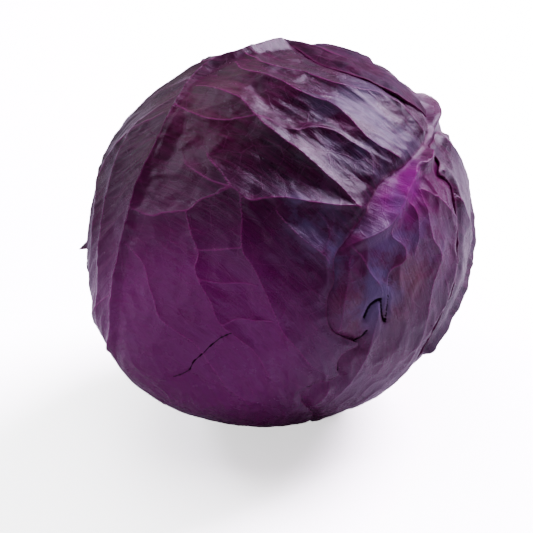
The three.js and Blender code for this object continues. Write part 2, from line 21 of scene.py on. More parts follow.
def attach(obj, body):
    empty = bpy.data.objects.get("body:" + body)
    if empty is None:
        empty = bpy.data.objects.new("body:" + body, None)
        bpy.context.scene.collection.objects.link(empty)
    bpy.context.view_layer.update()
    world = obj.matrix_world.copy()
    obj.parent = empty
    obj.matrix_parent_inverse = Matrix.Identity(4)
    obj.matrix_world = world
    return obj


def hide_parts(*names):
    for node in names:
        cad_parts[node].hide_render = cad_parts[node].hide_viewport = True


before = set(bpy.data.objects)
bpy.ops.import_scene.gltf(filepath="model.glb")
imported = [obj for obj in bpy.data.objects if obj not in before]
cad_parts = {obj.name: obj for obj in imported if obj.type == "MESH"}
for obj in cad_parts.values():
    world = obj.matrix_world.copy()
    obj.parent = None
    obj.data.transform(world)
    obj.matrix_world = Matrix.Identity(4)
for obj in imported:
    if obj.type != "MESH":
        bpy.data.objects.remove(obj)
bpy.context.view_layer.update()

log = logging.getLogger("cabbage")

Place = tuple[float, float]
Places = tuple[Place, ...]
Colour = tuple[float, float, float]
Masks = dict[str, np.ndarray]

MILLIMETRE = 0.001
MEAN_RADIUS = 83.0  # of the sphere on which the leaves are mapped
FAR = 9.0  # distances from a margin are measured up to here
LINE_STEP = 1.2  # between the corners of a drawn line
SPAN_SAMPLES = 24  # points worked out between two places of a curve
ROWS_AT_ONCE = 4096  # points compared with a line in one go
SKIP = 8  # corners left out in a first rough comparison
TINY = 1e-9
NOISE_SEED = 1  # for noise vectors, which follow the clock without it
UV_UNIT = 100  # millimetres to a unit of the UV maps


class Slot(Enum):
    """The material slots."""

    LEAF = "leaf"
    HEART = "heart"
    STEM = "stem"


class Stain(Enum):
    """What a patch does to the colour of a leaf; the clear purple kind also paints bounce light from
    the floor.
    """

    DEEP = "deep"  # near black cells
    WINE = "wine"  # redder
    # clear purple: partly the thinner leaf's own colour, partly painted light bounced up from the
    # floor
    VIVID_AND_BOUNCE = "vivid_and_bounce"  # clear purple
    BLUSH = "blush"  # bright magenta
    BLOOM = "bloom"  # grey blue wax
    BRUISE = "bruise"  # brownish


# ---------------------------------------------------------------- geometry on the head


def direction(azimuth: np.ndarray | float, polar: np.ndarray | float) -> np.ndarray:
    """Unit vectors of places on the head.

    Args:
        azimuth: degrees round the stem.
        polar: degrees from the stem.

    Returns:
        An array of shape (..., 3), the stem being at -Z and the crown at +Z.
    """
    a, p = np.radians(azimuth), np.radians(polar)
    return np.stack([np.sin(p) * np.cos(a), np.sin(p) * np.sin(a), -np.cos(p) + 0 * a], axis=-1)


def angle_between(d: np.ndarray, other: np.ndarray) -> np.ndarray:
    """Angles in radians between directions and one more direction."""
    return np.arccos(np.clip(d @ other, -1, 1))


def polar_of(d: np.ndarray) -> np.ndarray:
    """Angles from the stem in radians."""
    return np.arccos(np.clip(-d[:, 2], -1, 1))


def smoothstep(value: np.ndarray, low: float, high: float) -> np.ndarray:
    """0 below low, 1 above high, and a smooth rise between."""
    t = np.clip((value - low) / (high - low), 0.0, 1.0)
    return t * t * (3.0 - 2.0 * t)


def bell(distance: np.ndarray, spread: np.ndarray | float) -> np.ndarray:
    """1 at no distance, falling smoothly to 0."""
    return np.exp(-((distance / spread) ** 2))


def unit(vectors: np.ndarray) -> np.ndarray:
    """The vectors at length 1."""
    return vectors / np.linalg.norm(vectors, axis=-1, keepdims=True)


def curve_on_head(places: Places, closed: bool) -> np.ndarray:
    """Evenly spaced directions along a smooth curve through places.

    Args:
        places: the places it goes through.
        closed: whether it comes back to its start.

    Returns:
        An array of shape (count, 3). A closed curve doesn't repeat its first direction.
    """
    through = direction(*np.array(places, float).T)
    if closed:
        rows = np.concatenate([through[-1:], through, through[:2]])
    else:
        first, last = 2 * through[0] - through[1], 2 * through[-1] - through[-2]
        rows = np.concatenate([first[None], through, last[None]])
    t = np.linspace(0, 1, SPAN_SAMPLES, endpoint=False)[:, None]
    pieces = []
    for a, b, c, d in zip(rows[:-3], rows[1:-2], rows[2:-1], rows[3:]):
        bend = (2 * a - 5 * b + 4 * c - d) * t**2 + (3 * b - a - 3 * c + d) * t**3
        pieces.append(b + 0.5 * ((c - a) * t + bend))
    dense = np.concatenate(pieces + [rows[-2:-1]])
    run = np.concatenate([[0], np.cumsum(np.linalg.norm(np.diff(dense, axis=0), axis=1))])
    count = max(2, round(run[-1] * MEAN_RADIUS / LINE_STEP))
    at = np.linspace(0, run[-1], count + 1)
    even = unit(np.stack([np.interp(at, run, dense[:, k]) for k in range(3)], axis=-1))
    return even[:-1] if closed else even


def nearest_on_line(
    points: np.ndarray, line: np.ndarray
) -> tuple[np.ndarray, np.ndarray, np.ndarray]:
    """Where a line passes nearest to each point.

    Args:
        points: (count, 2) places in a leaf's map.
        line: (corners, 2) of the line.

    Returns:
        The distances, the shares of the line run there, and the nearest places.
    """
    start, leg = line[:-1], np.diff(line, axis=0)
    length2 = np.maximum((leg**2).sum(1), TINY)
    distance, share = np.empty(len(points)), np.empty(len(points))
    nearest = np.empty((len(points), 2))
    for low in range(0, len(points), ROWS_AT_ONCE):
        part = points[low : low + ROWS_AT_ONCE, None, :]
        t = np.clip(((part - start) * leg).sum(2) / length2, 0, 1)
        foot = start + t[..., None] * leg
        apart = ((part - foot) ** 2).sum(2)
        best = apart.argmin(1)
        rows = np.arange(len(best))
        here = slice(low, low + ROWS_AT_ONCE)
        distance[here] = np.sqrt(apart[rows, best])
        share[here] = (best + t[rows, best]) / len(leg)
        nearest[here] = foot[rows, best]
    return distance, share, nearest


def distance_near(points: np.ndarray, line: np.ndarray, reach: float) -> np.ndarray:
    """Distances from a line, worked out only near it.

    Args:
        points: (count, 2) places in a leaf's map.
        line: (corners, 2) of the line.
        reach: the largest distance of interest, in millimetres.

    Returns:
        The distance of each point, or reach where it is larger.
    """
    result = np.full(len(points), reach)
    longest_step = 1.6
    limit = (reach + longest_step * SKIP) ** 2
    near = np.zeros(len(points), bool)
    for low in range(0, len(points), ROWS_AT_ONCE):
        here = slice(low, low + ROWS_AT_ONCE)
        near[here] = ((points[here, None, :] - line[::SKIP]) ** 2).sum(2).min(1) < limit
    if near.any():
        result[near] = np.minimum(nearest_on_line(points[near], line)[0], reach)
    return result


def near_box(points: np.ndarray, line: np.ndarray, reach: float) -> np.ndarray:
    """Numbers of the points that lie in a line's box, widened by reach."""
    low, high = line.min(0) - reach, line.max(0) + reach
    return np.flatnonzero(((points > low) & (points < high)).all(1))


def inside(points: np.ndarray, outline: np.ndarray) -> np.ndarray:
    """Which points lie within a closed outline.

    Args:
        points: (count, 2) places in a leaf's map.
        outline: (corners, 2) of the outline, its first corner not repeated.

    Returns:
        A truth value for each point.
    """
    x, y = points[:, 0], points[:, 1]
    odd = np.zeros(len(points), bool)
    for (x1, y1), (x2, y2) in zip(outline, np.roll(outline, -1, axis=0)):
        if y1 == y2:
            continue
        crosses = (y1 > y) != (y2 > y)
        odd ^= crosses & (x < x1 + (y - y1) / (y2 - y1) * (x2 - x1))
    return odd


def waviness(directions: np.ndarray, size: float, seed: float) -> np.ndarray:
    """Smooth noise from about -1 to 1 over the head.

    Args:
        directions: unit vectors.
        size: millimetres across a wave.
        seed: which noise.

    Returns:
        One value for each direction.
    """
    scaled = directions * (MEAN_RADIUS / size) + seed
    return np.array([noise.noise(row) for row in scaled.tolist()])


def drawer(seed: int) -> Callable[[], float]:
    """A source of numbers from 0 to 1, the same each run.

    Args:
        seed: where it starts.

    Returns:
        A function that gives the next number.
    """
    factor, modulus = 16807, 2147483647
    state = [seed]

    def draw() -> float:
        """The next number."""
        state[0] = state[0] * factor % modulus
        return state[0] / modulus

    return draw


@dataclass(frozen=True)
class Head:
    """The shape of the whole head and the way it lies."""

    axis_radius: float = 86.5
    waist_radius: float = 81.5
    rest_height: float = 79.0
    hollow: tuple[float, float] = (5.0, 13.0)  # depth round the stem, and its spread in degrees
    settle: float = 4.0  # how far below this shape the outermost leaf lies
    pitch: float = 1.4  # from one leaf to the next
    dip: float = 6.0  # a leaf sinks over this distance before another leaf's margin
    stem_way: tuple[float, float, float] = (0.58, 0.674, 0.457)  # where the stem points
    midrib_way: tuple[float, float, float] = (-0.509, -0.139, 0.85)  # the front leaf's side
    swellings: tuple[tuple[float, float, float, float], ...] = (
        (-62, 45, 2.0, 10), (-82, 50, -2.0, 7), (-20, 54, -3.6, 15), (22, 108, 2.6, 16),
        (0, 168, 8.5, 27), (-133, 123, -1.6, 16), (-60, 120, 1.0, 25), (160, 60, -1.5, 30),
        (100, 100, 1.0, 25),
    )  # azimuth, polar, height and spread in degrees
    unevenness: tuple[tuple[float, float, float], ...] = ((0.9, 26, 3.1), (0.35, 11, 7.7))
    underside: float = 0.2  # share of straight down from which the floor matters

    @property
    def lie(self) -> np.ndarray:
        """The matrix from the head's own axes to the way it lies."""
        crown = -unit(np.array(self.stem_way))
        faces = np.array(self.midrib_way)
        face = unit(faces - crown * (faces @ crown))
        return np.stack([face, np.cross(crown, face), crown], axis=1)

    @property
    def down(self) -> np.ndarray:
        """Straight down, in the head's own axes."""
        return self.lie.T @ np.array([0.0, 0.0, -1.0])

    def radius(self, d: np.ndarray) -> np.ndarray:
        """How far the head reaches.

        Args:
            d: directions.

        Returns:
            Millimetres from the centre for each direction.
        """
        across = np.hypot(d[:, 0], d[:, 1]) / self.waist_radius
        result = 1 / np.hypot(d[:, 2] / self.axis_radius, across)
        for azimuth, polar, height, spread in self.swellings:
            apart = angle_between(d, direction(azimuth, polar))
            result = result + height * bell(apart, math.radians(spread))
        depth, spread = self.hollow
        result = result - depth * bell(polar_of(d), math.radians(spread))
        for height, size, seed in self.unevenness:
            result = result + height * waviness(d, size, seed)
        return result

    def floor(self, d: np.ndarray, leaves_between: np.ndarray) -> np.ndarray:
        """How far a leaf may reach above the floor and the leaves between it and the floor.

        Args:
            d: directions.
            leaves_between: how many leaves lie outside this one there.

        Returns:
            Millimetres from the centre, endless where the floor is out of the way.
        """
        falls = d @ self.down
        reach = (self.rest_height - leaves_between * self.pitch) / np.maximum(falls, self.underside)
        return np.where(falls > self.underside, reach, np.inf)

    def place(self, d: np.ndarray, radius: np.ndarray) -> np.ndarray:
        """Points in the scene, in metres, at a radius along each direction."""
        points = (d * radius[:, None]) @ self.lie.T
        points[:, 2] += self.rest_height
        return points * MILLIMETRE


HEAD = Head()


class LeafMap:
    """The flat map of one leaf: millimetres across and along it."""

    def __init__(self, azimuth: float, polar: float) -> None:
        """Centres the map on a place of the head.

        Args:
            azimuth: degrees round the stem.
            polar: degrees from the stem.
        """
        self.middle = direction(azimuth, polar)
        self.along = direction(azimuth, polar + 90)
        self.across = np.cross(self.along, self.middle)

    def to_map(self, d: np.ndarray) -> np.ndarray:
        """Places in the map.

        Args:
            d: directions.

        Returns:
            An array of shape (count, 2).
        """
        angle = angle_between(d, self.middle)
        scale = MEAN_RADIUS * angle / np.maximum(np.sin(angle), TINY)
        return np.stack([(d @ self.across) * scale, (d @ self.along) * scale], axis=-1)

    def to_direction(self, points: np.ndarray) -> np.ndarray:
        """Directions of places in the map.

        Args:
            points: an array of shape (count, 2).

        Returns:
            Unit vectors.
        """
        reach = np.maximum(np.hypot(points[:, 0], points[:, 1]), TINY)
        angle = reach / MEAN_RADIUS
        share = np.sin(angle) / reach
        x, y = points[:, :1] * share[:, None], points[:, 1:] * share[:, None]
        flat = x * self.across + y * self.along
        return unit(self.middle * np.cos(angle)[:, None] + flat)


# ---------------------------------------------------------------- what each leaf is like


@dataclass(frozen=True)
class Rib:
    """A rib of a leaf: a fine crest on a tent of leaf."""

    places: Places  # azimuths are counted from the leaf's midrib
    height: float = 2.3
    foot: float = 10.0  # reach of the tent to either side
    crest: float = 0.3
    tint: float = 1.0


@dataclass(frozen=True)
class Crack:
    """A split or a crease pressed into a leaf."""

    places: Places
    depth: float = 0.35
    width: float = 0.9
    shade_width: float = 1.0  # how wide the painted shade along it is, none at 0


@dataclass(frozen=True)
class Lift:
    """A spot where a leaf stands off what is under it."""

    azimuth: float
    polar: float
    height: float
    spread: float


@dataclass(frozen=True)
class Patch:
    """A stain on the leaves, or painted bounce light, at a place of the head."""

    stain: Stain
    azimuth: float
    polar: float
    spread: float  # millimetres
    strength: float = 1.0
    leaf: str = ""  # the one leaf that has it, if not all


@dataclass(frozen=True)
class LeafSpec:
    """One wrapper leaf as drawn on the head."""

    name: str
    azimuth: float  # of its midrib
    middle: float  # polar angle at the centre of its map
    margin: Places
    lifts: tuple[Lift, ...]
    waves: float  # height of the margin's waves
    seed: int
    step: float  # of its mesh
    midrib: Places = ((0, 17), (0, 60), (0, 110), (0, 150))
    ribs: tuple[Rib, ...] = ()
    midrib_height: float = 4.2
    rule: tuple[tuple[float, ...], tuple[float, ...]] = ((), ())  # where ruled side ribs start
    cracks: tuple[Crack, ...] = ()
    rule_height: float = 1.5
    lean: Place = (0.2, 0.2)  # slope of its wrinkles, to the right and to the left of the midrib
    wrinkled: float = 1.0


FRONT_RIBS = (
    # the fan from the midrib's upper end to the torn margin
    Rib(((-2, 64), (-14.7, 66.3), (-25.9, 62.5), (-40.6, 60.6), (-54.8, 53.8), (-72, 54)), 2.2, 9),
    Rib(((-4, 70), (-11.2, 73.3), (-21.8, 72.8), (-34.1, 72.9), (-45.6, 71.1), (-58.2, 73.2),
         (-70, 70)), 3.0, 12),
    Rib(((-1, 84), (-7.9, 84.2), (-20.9, 85.5), (-33.7, 89.5), (-45.7, 90.5), (-55.7, 91.2),
         (-68.4, 91.7)), 3.4, 13),
    Rib(((-1, 93), (-10.1, 94.4), (-16.3, 94), (-22, 92), (-27.9, 88.1), (-32.7, 86.8)), 1.2, 7),
    Rib(((-32.7, 86.8), (-39.5, 85.9), (-44.2, 80.4), (-50.5, 78.3), (-56.1, 77.8), (-61.7, 77),
         (-65.2, 80.5)), 2.2, 9, 0.2, 0.4),
    # the great crest and what springs from it
    Rib(((-3, 126), (-13, 126.6), (-17.2, 124.7), (-25.8, 121.3), (-28.7, 117.2), (-35.8, 109.8)),
        1.3, 8),
    Rib(((-33, 112), (-35.8, 109.8), (-38.9, 109.9), (-42.8, 109.8), (-48.7, 104.8), (-59.3, 98.4),
         (-68.1, 91.4)), 3.2, 13),
    Rib(((-17, 109.5), (-23, 110.5), (-28.5, 110.8), (-35.8, 109.8)), 1.6, 7),
    Rib(((-21.8, 104.2), (-24.5, 105.8), (-28.9, 107), (-35.8, 109.8)), 1.4, 6),
    Rib(((-38.9, 109.9), (-42.5, 114.1), (-49.2, 121.8), (-55.8, 124.1), (-68.1, 128.5),
         (-78.1, 131.4),
         (-88.9, 131.6), (-98.7, 131.1), (-107.5, 128.7)), 1.9, 10),
    Rib(((-34.7, 129.4), (-40.2, 127.3), (-48.4, 122.1)), 0.35, 5),
    Rib(((-25.8, 121.3), (-28.5, 124.4), (-36.6, 129.4), (-39.5, 134.2), (-50.8, 138.8),
         (-59.8, 142.1),
         (-79.3, 141.5), (-95.4, 143)), 1.3, 8),
    Rib(((-5, 136), (-15.7, 139.4), (-24.5, 145.3), (-34.3, 150.5), (-56, 151.4), (-83.2, 154.5),
         (-99.3, 154.3), (-111.9, 150)), 1.0, 8),
    Rib(((-41.7, 135.4), (-49.1, 133.5), (-55.4, 129.7), (-60.3, 127.3)), 0.35, 5),
    Rib(((-60.7, 141.6), (-64.3, 137.4), (-69.5, 134.8), (-74, 131.7)), 0.4, 5),
    Rib(((-50.3, 108), (-54.1, 109), (-60.8, 109.6), (-68.8, 108.9), (-72.9, 109.4)), 1.3, 7),
    Rib(((-57.4, 101), (-63.1, 101.7), (-67.1, 104.3), (-68.3, 108.3)), 1.0, 6, 0.15, 0.4),
    Rib(((-2.5, 90), (-4, 98), (-5, 106), (-5, 113)), 2.4, 7, 0, 0),
    # the left half
    Rib(((3, 70), (20, 66), (40, 68), (52, 74)), 2.0, 9),
    Rib(((3, 66), (14, 72), (28, 88), (38, 104), (44, 118)), 2.0, 9),
    Rib(((4, 88), (11.4, 100.6), (13.1, 114.2), (14.2, 125.6), (16.8, 148.7),
         (32.8, 157)), 1.8, 8, 0.2, 0.6),
    Rib(((4, 80), (20, 88), (30.9, 96.1), (30.5, 108.2), (23.4, 123), (25, 134.8), (38.3, 144.7)),
        2.0, 8, 0.2, 0.6),
    Rib(((3, 96), (22, 110), (34, 126), (44, 136)), 1.4, 8),
    Rib(((4, 150), (24, 153), (60, 153)), 1.4, 8),
)

# places, depth, width, and how wide a painted shade runs along it
FRONT_CRACKS = (
    Crack(((-61.9, 166.1), (-66.8, 160.6), (-63.6, 157), (-63.9, 153.8), (-64.3, 146.6),
    (-66.2, 142.1)),
          0.45, 0.8, 0.8),
    Crack(((-111.8, 135.6), (-112.4, 134.1), (-112.2, 132.9)), 0.6, 0.9, 1.6),
    Crack(((-20.1, 78.2), (-25.8, 81.5), (-33.5, 82.7), (-39.8, 80.9), (-43.1, 77.5)), 0.9, 2.2, 0),
    Crack(((-29.1, 80.7), (-36.5, 81.7), (-41.9, 79.8), (-48.9, 76)), 0.7, 1.6, 0),
    Crack(((-22, 75), (-30, 77.5), (-38, 76.5), (-47, 74.5)), 0.6, 2.0, 0),
)

# places, depth, width, and how wide a painted shade runs along it
RIGHT_CRACKS = (
    Crack(((-16.6, 111.4), (-14.6, 108.6), (-14.4, 106.2), (-15.8, 104.4)), 1.2, 1.3, 3.0),
    Crack(((-15.4, 104.4), (-19.4, 106.2), (-23.3, 106.8)), 1.2, 1.2, 2.6),
    Crack(((-24, 106.5), (-19.3, 104), (-15.2, 101.1), (-12, 98)), 0.6, 0.9, 1.2),
    Crack(((-21.5, 112.8), (-22.8, 116.1), (-23, 120.8), (-25.9, 123.9),
    (-32.1, 125.9)), 0.9, 1.0, 2.2),
)

RIGHT_RIBS = (
    Rib(((-1, 64), (1.1, 72.4), (1.1, 79), (-2.6, 89.4), (-9.5, 89.2), (-12, 92.1),
         (-10.9, 97.5), (-16, 102)), 0.45, 5, 0.25, 0.8),
    Rib(((1, 79), (-5.1, 78.4), (-11.1, 83.4), (-13.8, 87.3)), 0.35, 5, 0.2, 0.8),
    Rib(((-2.9, 71.6), (-11.5, 67.9), (-20.8, 66.3), (-28.7, 65.3), (-50, 62)), 1.5, 9, 0.2, 0.8),
    Rib(((6, 101.8), (0.7, 101.1), (-5.9, 102.3), (-12.4, 102.6), (-15, 103.7)), 0.5, 5, 0.2, 0.8),
    Rib(((-2.1, 72.4), (-8.5, 75.1), (-15.6, 79.2), (-22.3, 79.6), (-28.4, 88.2), (-39.8, 95.7),
         (-55, 104)), 0.9, 8, 0.2, 0.8),
    Rib(((-24.4, 67.6), (-30.7, 72.9), (-35.5, 79.5), (-41, 86), (-44.2, 94.9),
         (-46.6, 105.4)), 1.0, 8, 0.15, 0.5),
    Rib(((-15, 104), (-24, 112), (-36, 120), (-50, 130)), 1.3, 9, 0.2, 0.6),
    Rib(((2, 104), (-12, 118), (-27, 126), (-44, 132), (-56, 142)), 1.1, 8, 0.2, 0.6),
    Rib(((-27, 126), (-33, 134), (-44, 144)), 0.9, 7, 0.2, 0.6),
)

LEAVES = (
    LeafSpec(
        name="back_leaf", azimuth=85, middle=66, waves=1.0, seed=11, step=0.9,
        margin=(
            (-28, 17), (-70, 22), (-118, 30), (-150, 37), (-158, 42), (-147, 46), (-130, 48.5),
            (-112, 49),
            (-96, 47), (-82, 46), (-66, 50), (-50, 58), (-38, 72), (-26, 92), (-12, 110), (4, 118),
            (20, 113), (33, 100), (43, 84), (47, 66), (44, 48), (38, 32), (28, 18),
        ),
        lifts=(Lift(-140, 46, 0.9, 9), Lift(-4, 116, 1.2, 16)),
        rule=((26, 34, 44, 62, 82), (30, 48, 68, 88)), lean=(0.0, 0.2), wrinkled=2.2,
    ),
    LeafSpec(
        name="side_leaf", azimuth=-137, middle=60, waves=0.8, seed=23, step=0.9,
        margin=(
            (-28, 17), (-48, 30), (-62, 46), (-70, 62), (-72, 78), (-64, 88), (-48, 91), (-30, 92),
            (-16, 96), (-4, 97), (6, 92), (16, 80), (27, 69), (38, 61), (44, 57), (51, 60),
            (53, 55),
            (59, 53), (54, 42), (40, 30), (28, 17),
        ),
        lifts=(Lift(53, 57, 1.0, 8), Lift(-4, 96, 0.3, 16)),
        rule=((30, 50, 68), (26, 40, 56)),
    ),
    LeafSpec(
        name="front_leaf", azimuth=0, middle=104, waves=0, seed=37, step=0.82,
        margin=(
            (-28, 17), (-50, 27), (-68, 38), (-75.5, 48), (-74.5, 59), (-71, 73), (-69, 80),
            (-71, 92),
            (-71.5, 101), (-72.5, 107), (-78, 112), (-81, 117), (-89, 121), (-94, 120.5),
            (-99, 118),
            (-102, 117), (-103, 122.5), (-108.5, 125.7), (-113.5, 126.5), (-112.5, 133),
            (-116, 137.5),
            (-123, 138), (-142, 134), (-165, 129), (172, 128), (135, 134), (103, 141), (76, 146),
            (58, 144), (51, 138), (48.5, 134.5), (48, 132), (54, 129.5), (52, 125), (50, 118),
            (53, 100), (56, 80), (54, 60), (46, 42), (28, 17),
        ),
        lifts=(Lift(54.5, 130, 6.0, 4.2), Lift(-103, 118, 1.0, 8)),
        midrib=(
            (0, 17), (-1, 50), (0, 64.5), (3.8, 70.2), (4.8, 76), (3.4, 83), (0, 91), (-2.6, 101),
            (-3.1, 109), (-3.1, 122), (-2.9, 133), (-0.5, 145), (5.8, 158), (30, 164),
        ),
        ribs=FRONT_RIBS, cracks=FRONT_CRACKS, lean=(0.0, 0.8),
    ),
    LeafSpec(
        name="lower_leaf", azimuth=137.5, middle=104, waves=1.2, seed=41, step=1.2,
        margin=(
            (-28, 17), (-46, 36), (-58, 56), (-63, 78), (-62, 100), (-58, 122), (-52, 142),
            (-38, 156),
            (-6, 162), (22, 158), (40, 148), (52, 134), (57, 116), (57, 96), (54, 74), (50, 54),
            (44, 36),
            (28, 17),
        ),
        lifts=(Lift(-60, 110, 1.5, 20), Lift(56, 110, 1.2, 18)),
        rule=((30, 48, 66, 84, 104, 126), (34, 54, 74, 96, 120)),
    ),
    LeafSpec(
        name="right_leaf", azimuth=-78, middle=98, waves=1.0, seed=53, step=0.8,
        margin=(
            (28, 17), (36, 40), (40, 62), (42, 88), (40, 112), (32, 134), (10, 150), (-30, 157),
            (-58, 151), (-72, 138), (-76, 118), (-76, 98), (-72, 78), (-62, 58), (-48, 38),
            (-28, 17),
        ),
        lifts=(Lift(-74, 110, 1.2, 18),),
        midrib=((0, 17), (0, 60), (2.8, 66.7), (1.1, 79), (0, 90), (4.8, 101.8), (8, 120),
        (0, 150)),
        ribs=RIGHT_RIBS, cracks=RIGHT_CRACKS, wrinkled=0.35,
    ),
    LeafSpec(
        name="left_leaf", azimuth=54, middle=98, waves=1.2, seed=67, step=1.7,
        margin=(
            (-28, 17), (-40, 38), (-44, 62), (-44, 90), (-42, 116), (-34, 138), (-10, 152),
            (16, 150),
            (34, 138), (42, 118), (46, 92), (46, 66), (42, 42), (28, 17),
        ),
        lifts=(),
        rule=((40, 70, 100, 124), (50, 76, 100, 122)),
    ),
    LeafSpec(
        name="rear_leaf", azimuth=-166, middle=98, waves=1.2, seed=79, step=1.7,
        margin=(
            (-28, 17), (-40, 40), (-44, 66), (-44, 92), (-42, 118), (-34, 140), (-8, 154),
            (20, 152),
            (38, 140), (46, 118), (48, 92), (46, 66), (40, 40), (28, 17),
        ),
        lifts=(),
        rule=((60, 90, 118), (56, 84, 108, 130)),
    ),
)

PATCHES = (
    Patch(Stain.DEEP, -42, 114, 27), Patch(Stain.DEEP, -36, 100, 18, 0.8),
    Patch(Stain.DEEP, -40, 128, 18, 0.7),
    Patch(Stain.WINE, -12, 92, 26, 0.9), Patch(Stain.WINE, -18, 118, 18, 0.5),
    # the clear purple patches toward the crown are partly painted light bounced up from the floor
    Patch(Stain.VIVID_AND_BOUNCE, -70, 152, 45), Patch(Stain.VIVID_AND_BOUNCE, -20, 160, 40, 0.7),
    Patch(Stain.VIVID_AND_BOUNCE, -60, 140, 30, 0.4), Patch(Stain.DEEP, -14, 113, 15, 0.8, "front_leaf"),
    Patch(Stain.BLUSH, -76, 74, 6, 1.0, "right_leaf"),
    Patch(Stain.BLUSH, -75, 83, 7, 0.7, "right_leaf"),
    Patch(Stain.VIVID_AND_BOUNCE, -76, 82, 16, 0.6, "right_leaf"),
    Patch(Stain.WINE, -92, 100, 30, 0.5, "right_leaf"),
    Patch(Stain.BLUSH, -72, 67, 5, 0.5, "right_leaf"),
    Patch(Stain.BLUSH, -80, 96, 5, 0.25, "right_leaf"),
    Patch(Stain.BLOOM, -72, 106, 12, 0.9), Patch(Stain.BLOOM, -86, 96, 15, 0.9, "right_leaf"),
    Patch(Stain.BLOOM, -92, 108, 13, 1.0, "right_leaf"),
    Patch(Stain.BLOOM, -55, 66, 26, 0.5, "front_leaf"),
    Patch(Stain.BLOOM, -98, 84, 16, 0.4, "right_leaf"),
    Patch(Stain.BLOOM, -80, 80, 10, 0.8, "right_leaf"),
    Patch(Stain.BLOOM, -56, 104, 9, 0.8, "front_leaf"),
    Patch(Stain.WINE, -100, 120, 16, 0.7, "right_leaf"),
    Patch(Stain.BRUISE, -97, 93, 9, 0.9, "right_leaf"),
    Patch(Stain.BRUISE, -90, 112, 9, 0.7, "right_leaf"),
    Patch(Stain.BRUISE, -104, 104, 6, 0.5, "right_leaf"),
)


# ---------------------------------------------------------------- nodes

Value = Union[bpy.types.NodeSocket, float, tuple[float, ...]]
NUMBER, VECTOR = "NodeSocketFloat", "NodeSocketVector"


class NodePlan:
    """A node tree under construction, of a material, a group or the world."""

    def __init__(self, tree: bpy.types.NodeTree) -> None:
        """Works on an empty tree."""
        self.tree = tree

    def add(self, kind: str, *, inputs: dict | None = None, **settings: object) -> bpy.types.Node:
        """Adds a node.

        Args:
            kind: its Blender type.
            inputs: values or sockets for its inputs, by name or number.
            settings: its properties.

        Returns:
            The node.
        """
        node = self.tree.nodes.new(kind)
        for name, value in settings.items():
            setattr(node, name, value)
        for name, value in (inputs or {}).items():
            self.feed(node.inputs[name], value)
        return node

    def feed(self, socket: bpy.types.NodeSocket, value: Value) -> None:
        """Sets an input, or links it when the value is a socket.

        Args:
            socket: the input.
            value: what it gets.
        """
        if isinstance(value, bpy.types.NodeSocket):
            self.tree.links.new(value, socket)
        else:
            socket.default_value = value

    def sum(self, operation: str, *values: Value) -> bpy.types.NodeSocket:
        """The result of a Math node."""
        node = self.add("ShaderNodeMath", operation=operation, inputs=dict(enumerate(values)))
        return node.outputs[0]

    def share(self, value: Value, part: float) -> bpy.types.NodeSocket:
        """A part of a value."""
        return self.sum("MULTIPLY", value, part)

    def spread(
        self, value: Value, low: Value, high: Value, to_low: Value = 0, to_high: Value = 1
    ) -> bpy.types.NodeSocket:
        """A value mapped smoothly from one range to another.

        Args:
            value: the value.
            low: start of its range.
            high: end of its range.
            to_low: what low becomes.
            to_high: what high becomes.

        Returns:
            The mapped value.
        """
        node = self.add(
            "ShaderNodeMapRange", interpolation_type="SMOOTHSTEP",
            inputs={0: value, 1: low, 2: high, 3: to_low, 4: to_high},
        )
        return node.outputs[0]

    def blend(self, share: Value, first: Value, second: Value) -> bpy.types.NodeSocket:
        """Two colours mixed.

        Args:
            share: how much of the second.
            first: the first colour.
            second: the second colour.

        Returns:
            The mixed colour.
        """
        node = self.add("ShaderNodeMix", data_type="RGBA", blend_type="MIX")
        for index, value in ((0, share), (6, first), (7, second)):
            value = (*value, 1.0) if isinstance(value, tuple) and len(value) == 3 else value
            self.feed(node.inputs[index], value)
        return node.outputs[2]

    def attribute(self, name: str) -> bpy.types.NodeSocket:
        """A number that the piece's vertices carry."""
        node = self.add("ShaderNodeAttribute", attribute_name=name, attribute_type="GEOMETRY")
        return node.outputs["Fac"]

    def noise(
        self, vector: Value, scale: float, detail: float = 3, rough: float = 0.55
    ) -> bpy.types.NodeSocket:
        """Smooth noise.

        Args:
            vector: the place.
            scale: waves to a unit.
            detail: how many finer layers it has.
            rough: how strong they are.

        Returns:
            A value from 0 to 1.
        """
        node = self.add(
            "ShaderNodeTexNoise",
            inputs={"Vector": vector, "Scale": scale, "Detail": detail, "Roughness": rough},
        )
        return node.outputs["Fac"]

    def bump(self, height: Value, strength: float, distance: float) -> bpy.types.NodeSocket:
        """The normal of a surface roughened by height.

        Args:
            height: the height.
            strength: how strongly it shows.
            distance: metres to a unit of height.

        Returns:
            The normal.
        """
        node = self.add(
            "ShaderNodeBump", inputs={"Strength": strength, "Distance": distance, "Height": height}
        )
        return node.outputs[0]

    def skin(self, inputs: dict[str, Value]) -> None:
        """Ends the tree in a principled shader with these inputs."""
        shader = self.add("ShaderNodeBsdfPrincipled", inputs=inputs)
        self.add("ShaderNodeOutputMaterial", inputs={"Surface": shader.outputs[0]})


def new_material(name: str) -> tuple[bpy.types.Material, NodePlan]:
    """An empty material.

    Args:
        name: its name.

    Returns:
        The material and the plan of its nodes.
    """
    material = bpy.data.materials.new(name)
    material.use_nodes = True
    material.node_tree.nodes.clear()
    return material, NodePlan(material.node_tree)


def new_group(
    name: str, inputs: dict[str, str], outputs: dict[str, str]
) -> tuple[NodePlan, bpy.types.Node, bpy.types.Node]:
    """An empty shader node group.

    Args:
        name: its name.
        inputs: socket types by input name.
        outputs: socket types by output name.

    Returns:
        The plan of its tree, its input node and its output node.
    """
    tree = bpy.data.node_groups.new(name, "ShaderNodeTree")
    for label, kind in inputs.items():
        tree.interface.new_socket(label, in_out="INPUT", socket_type=kind)
    for label, kind in outputs.items():
        tree.interface.new_socket(label, in_out="OUTPUT", socket_type=kind)
    plan = NodePlan(tree)
    return plan, plan.add("NodeGroupInput"), plan.add("NodeGroupOutput")


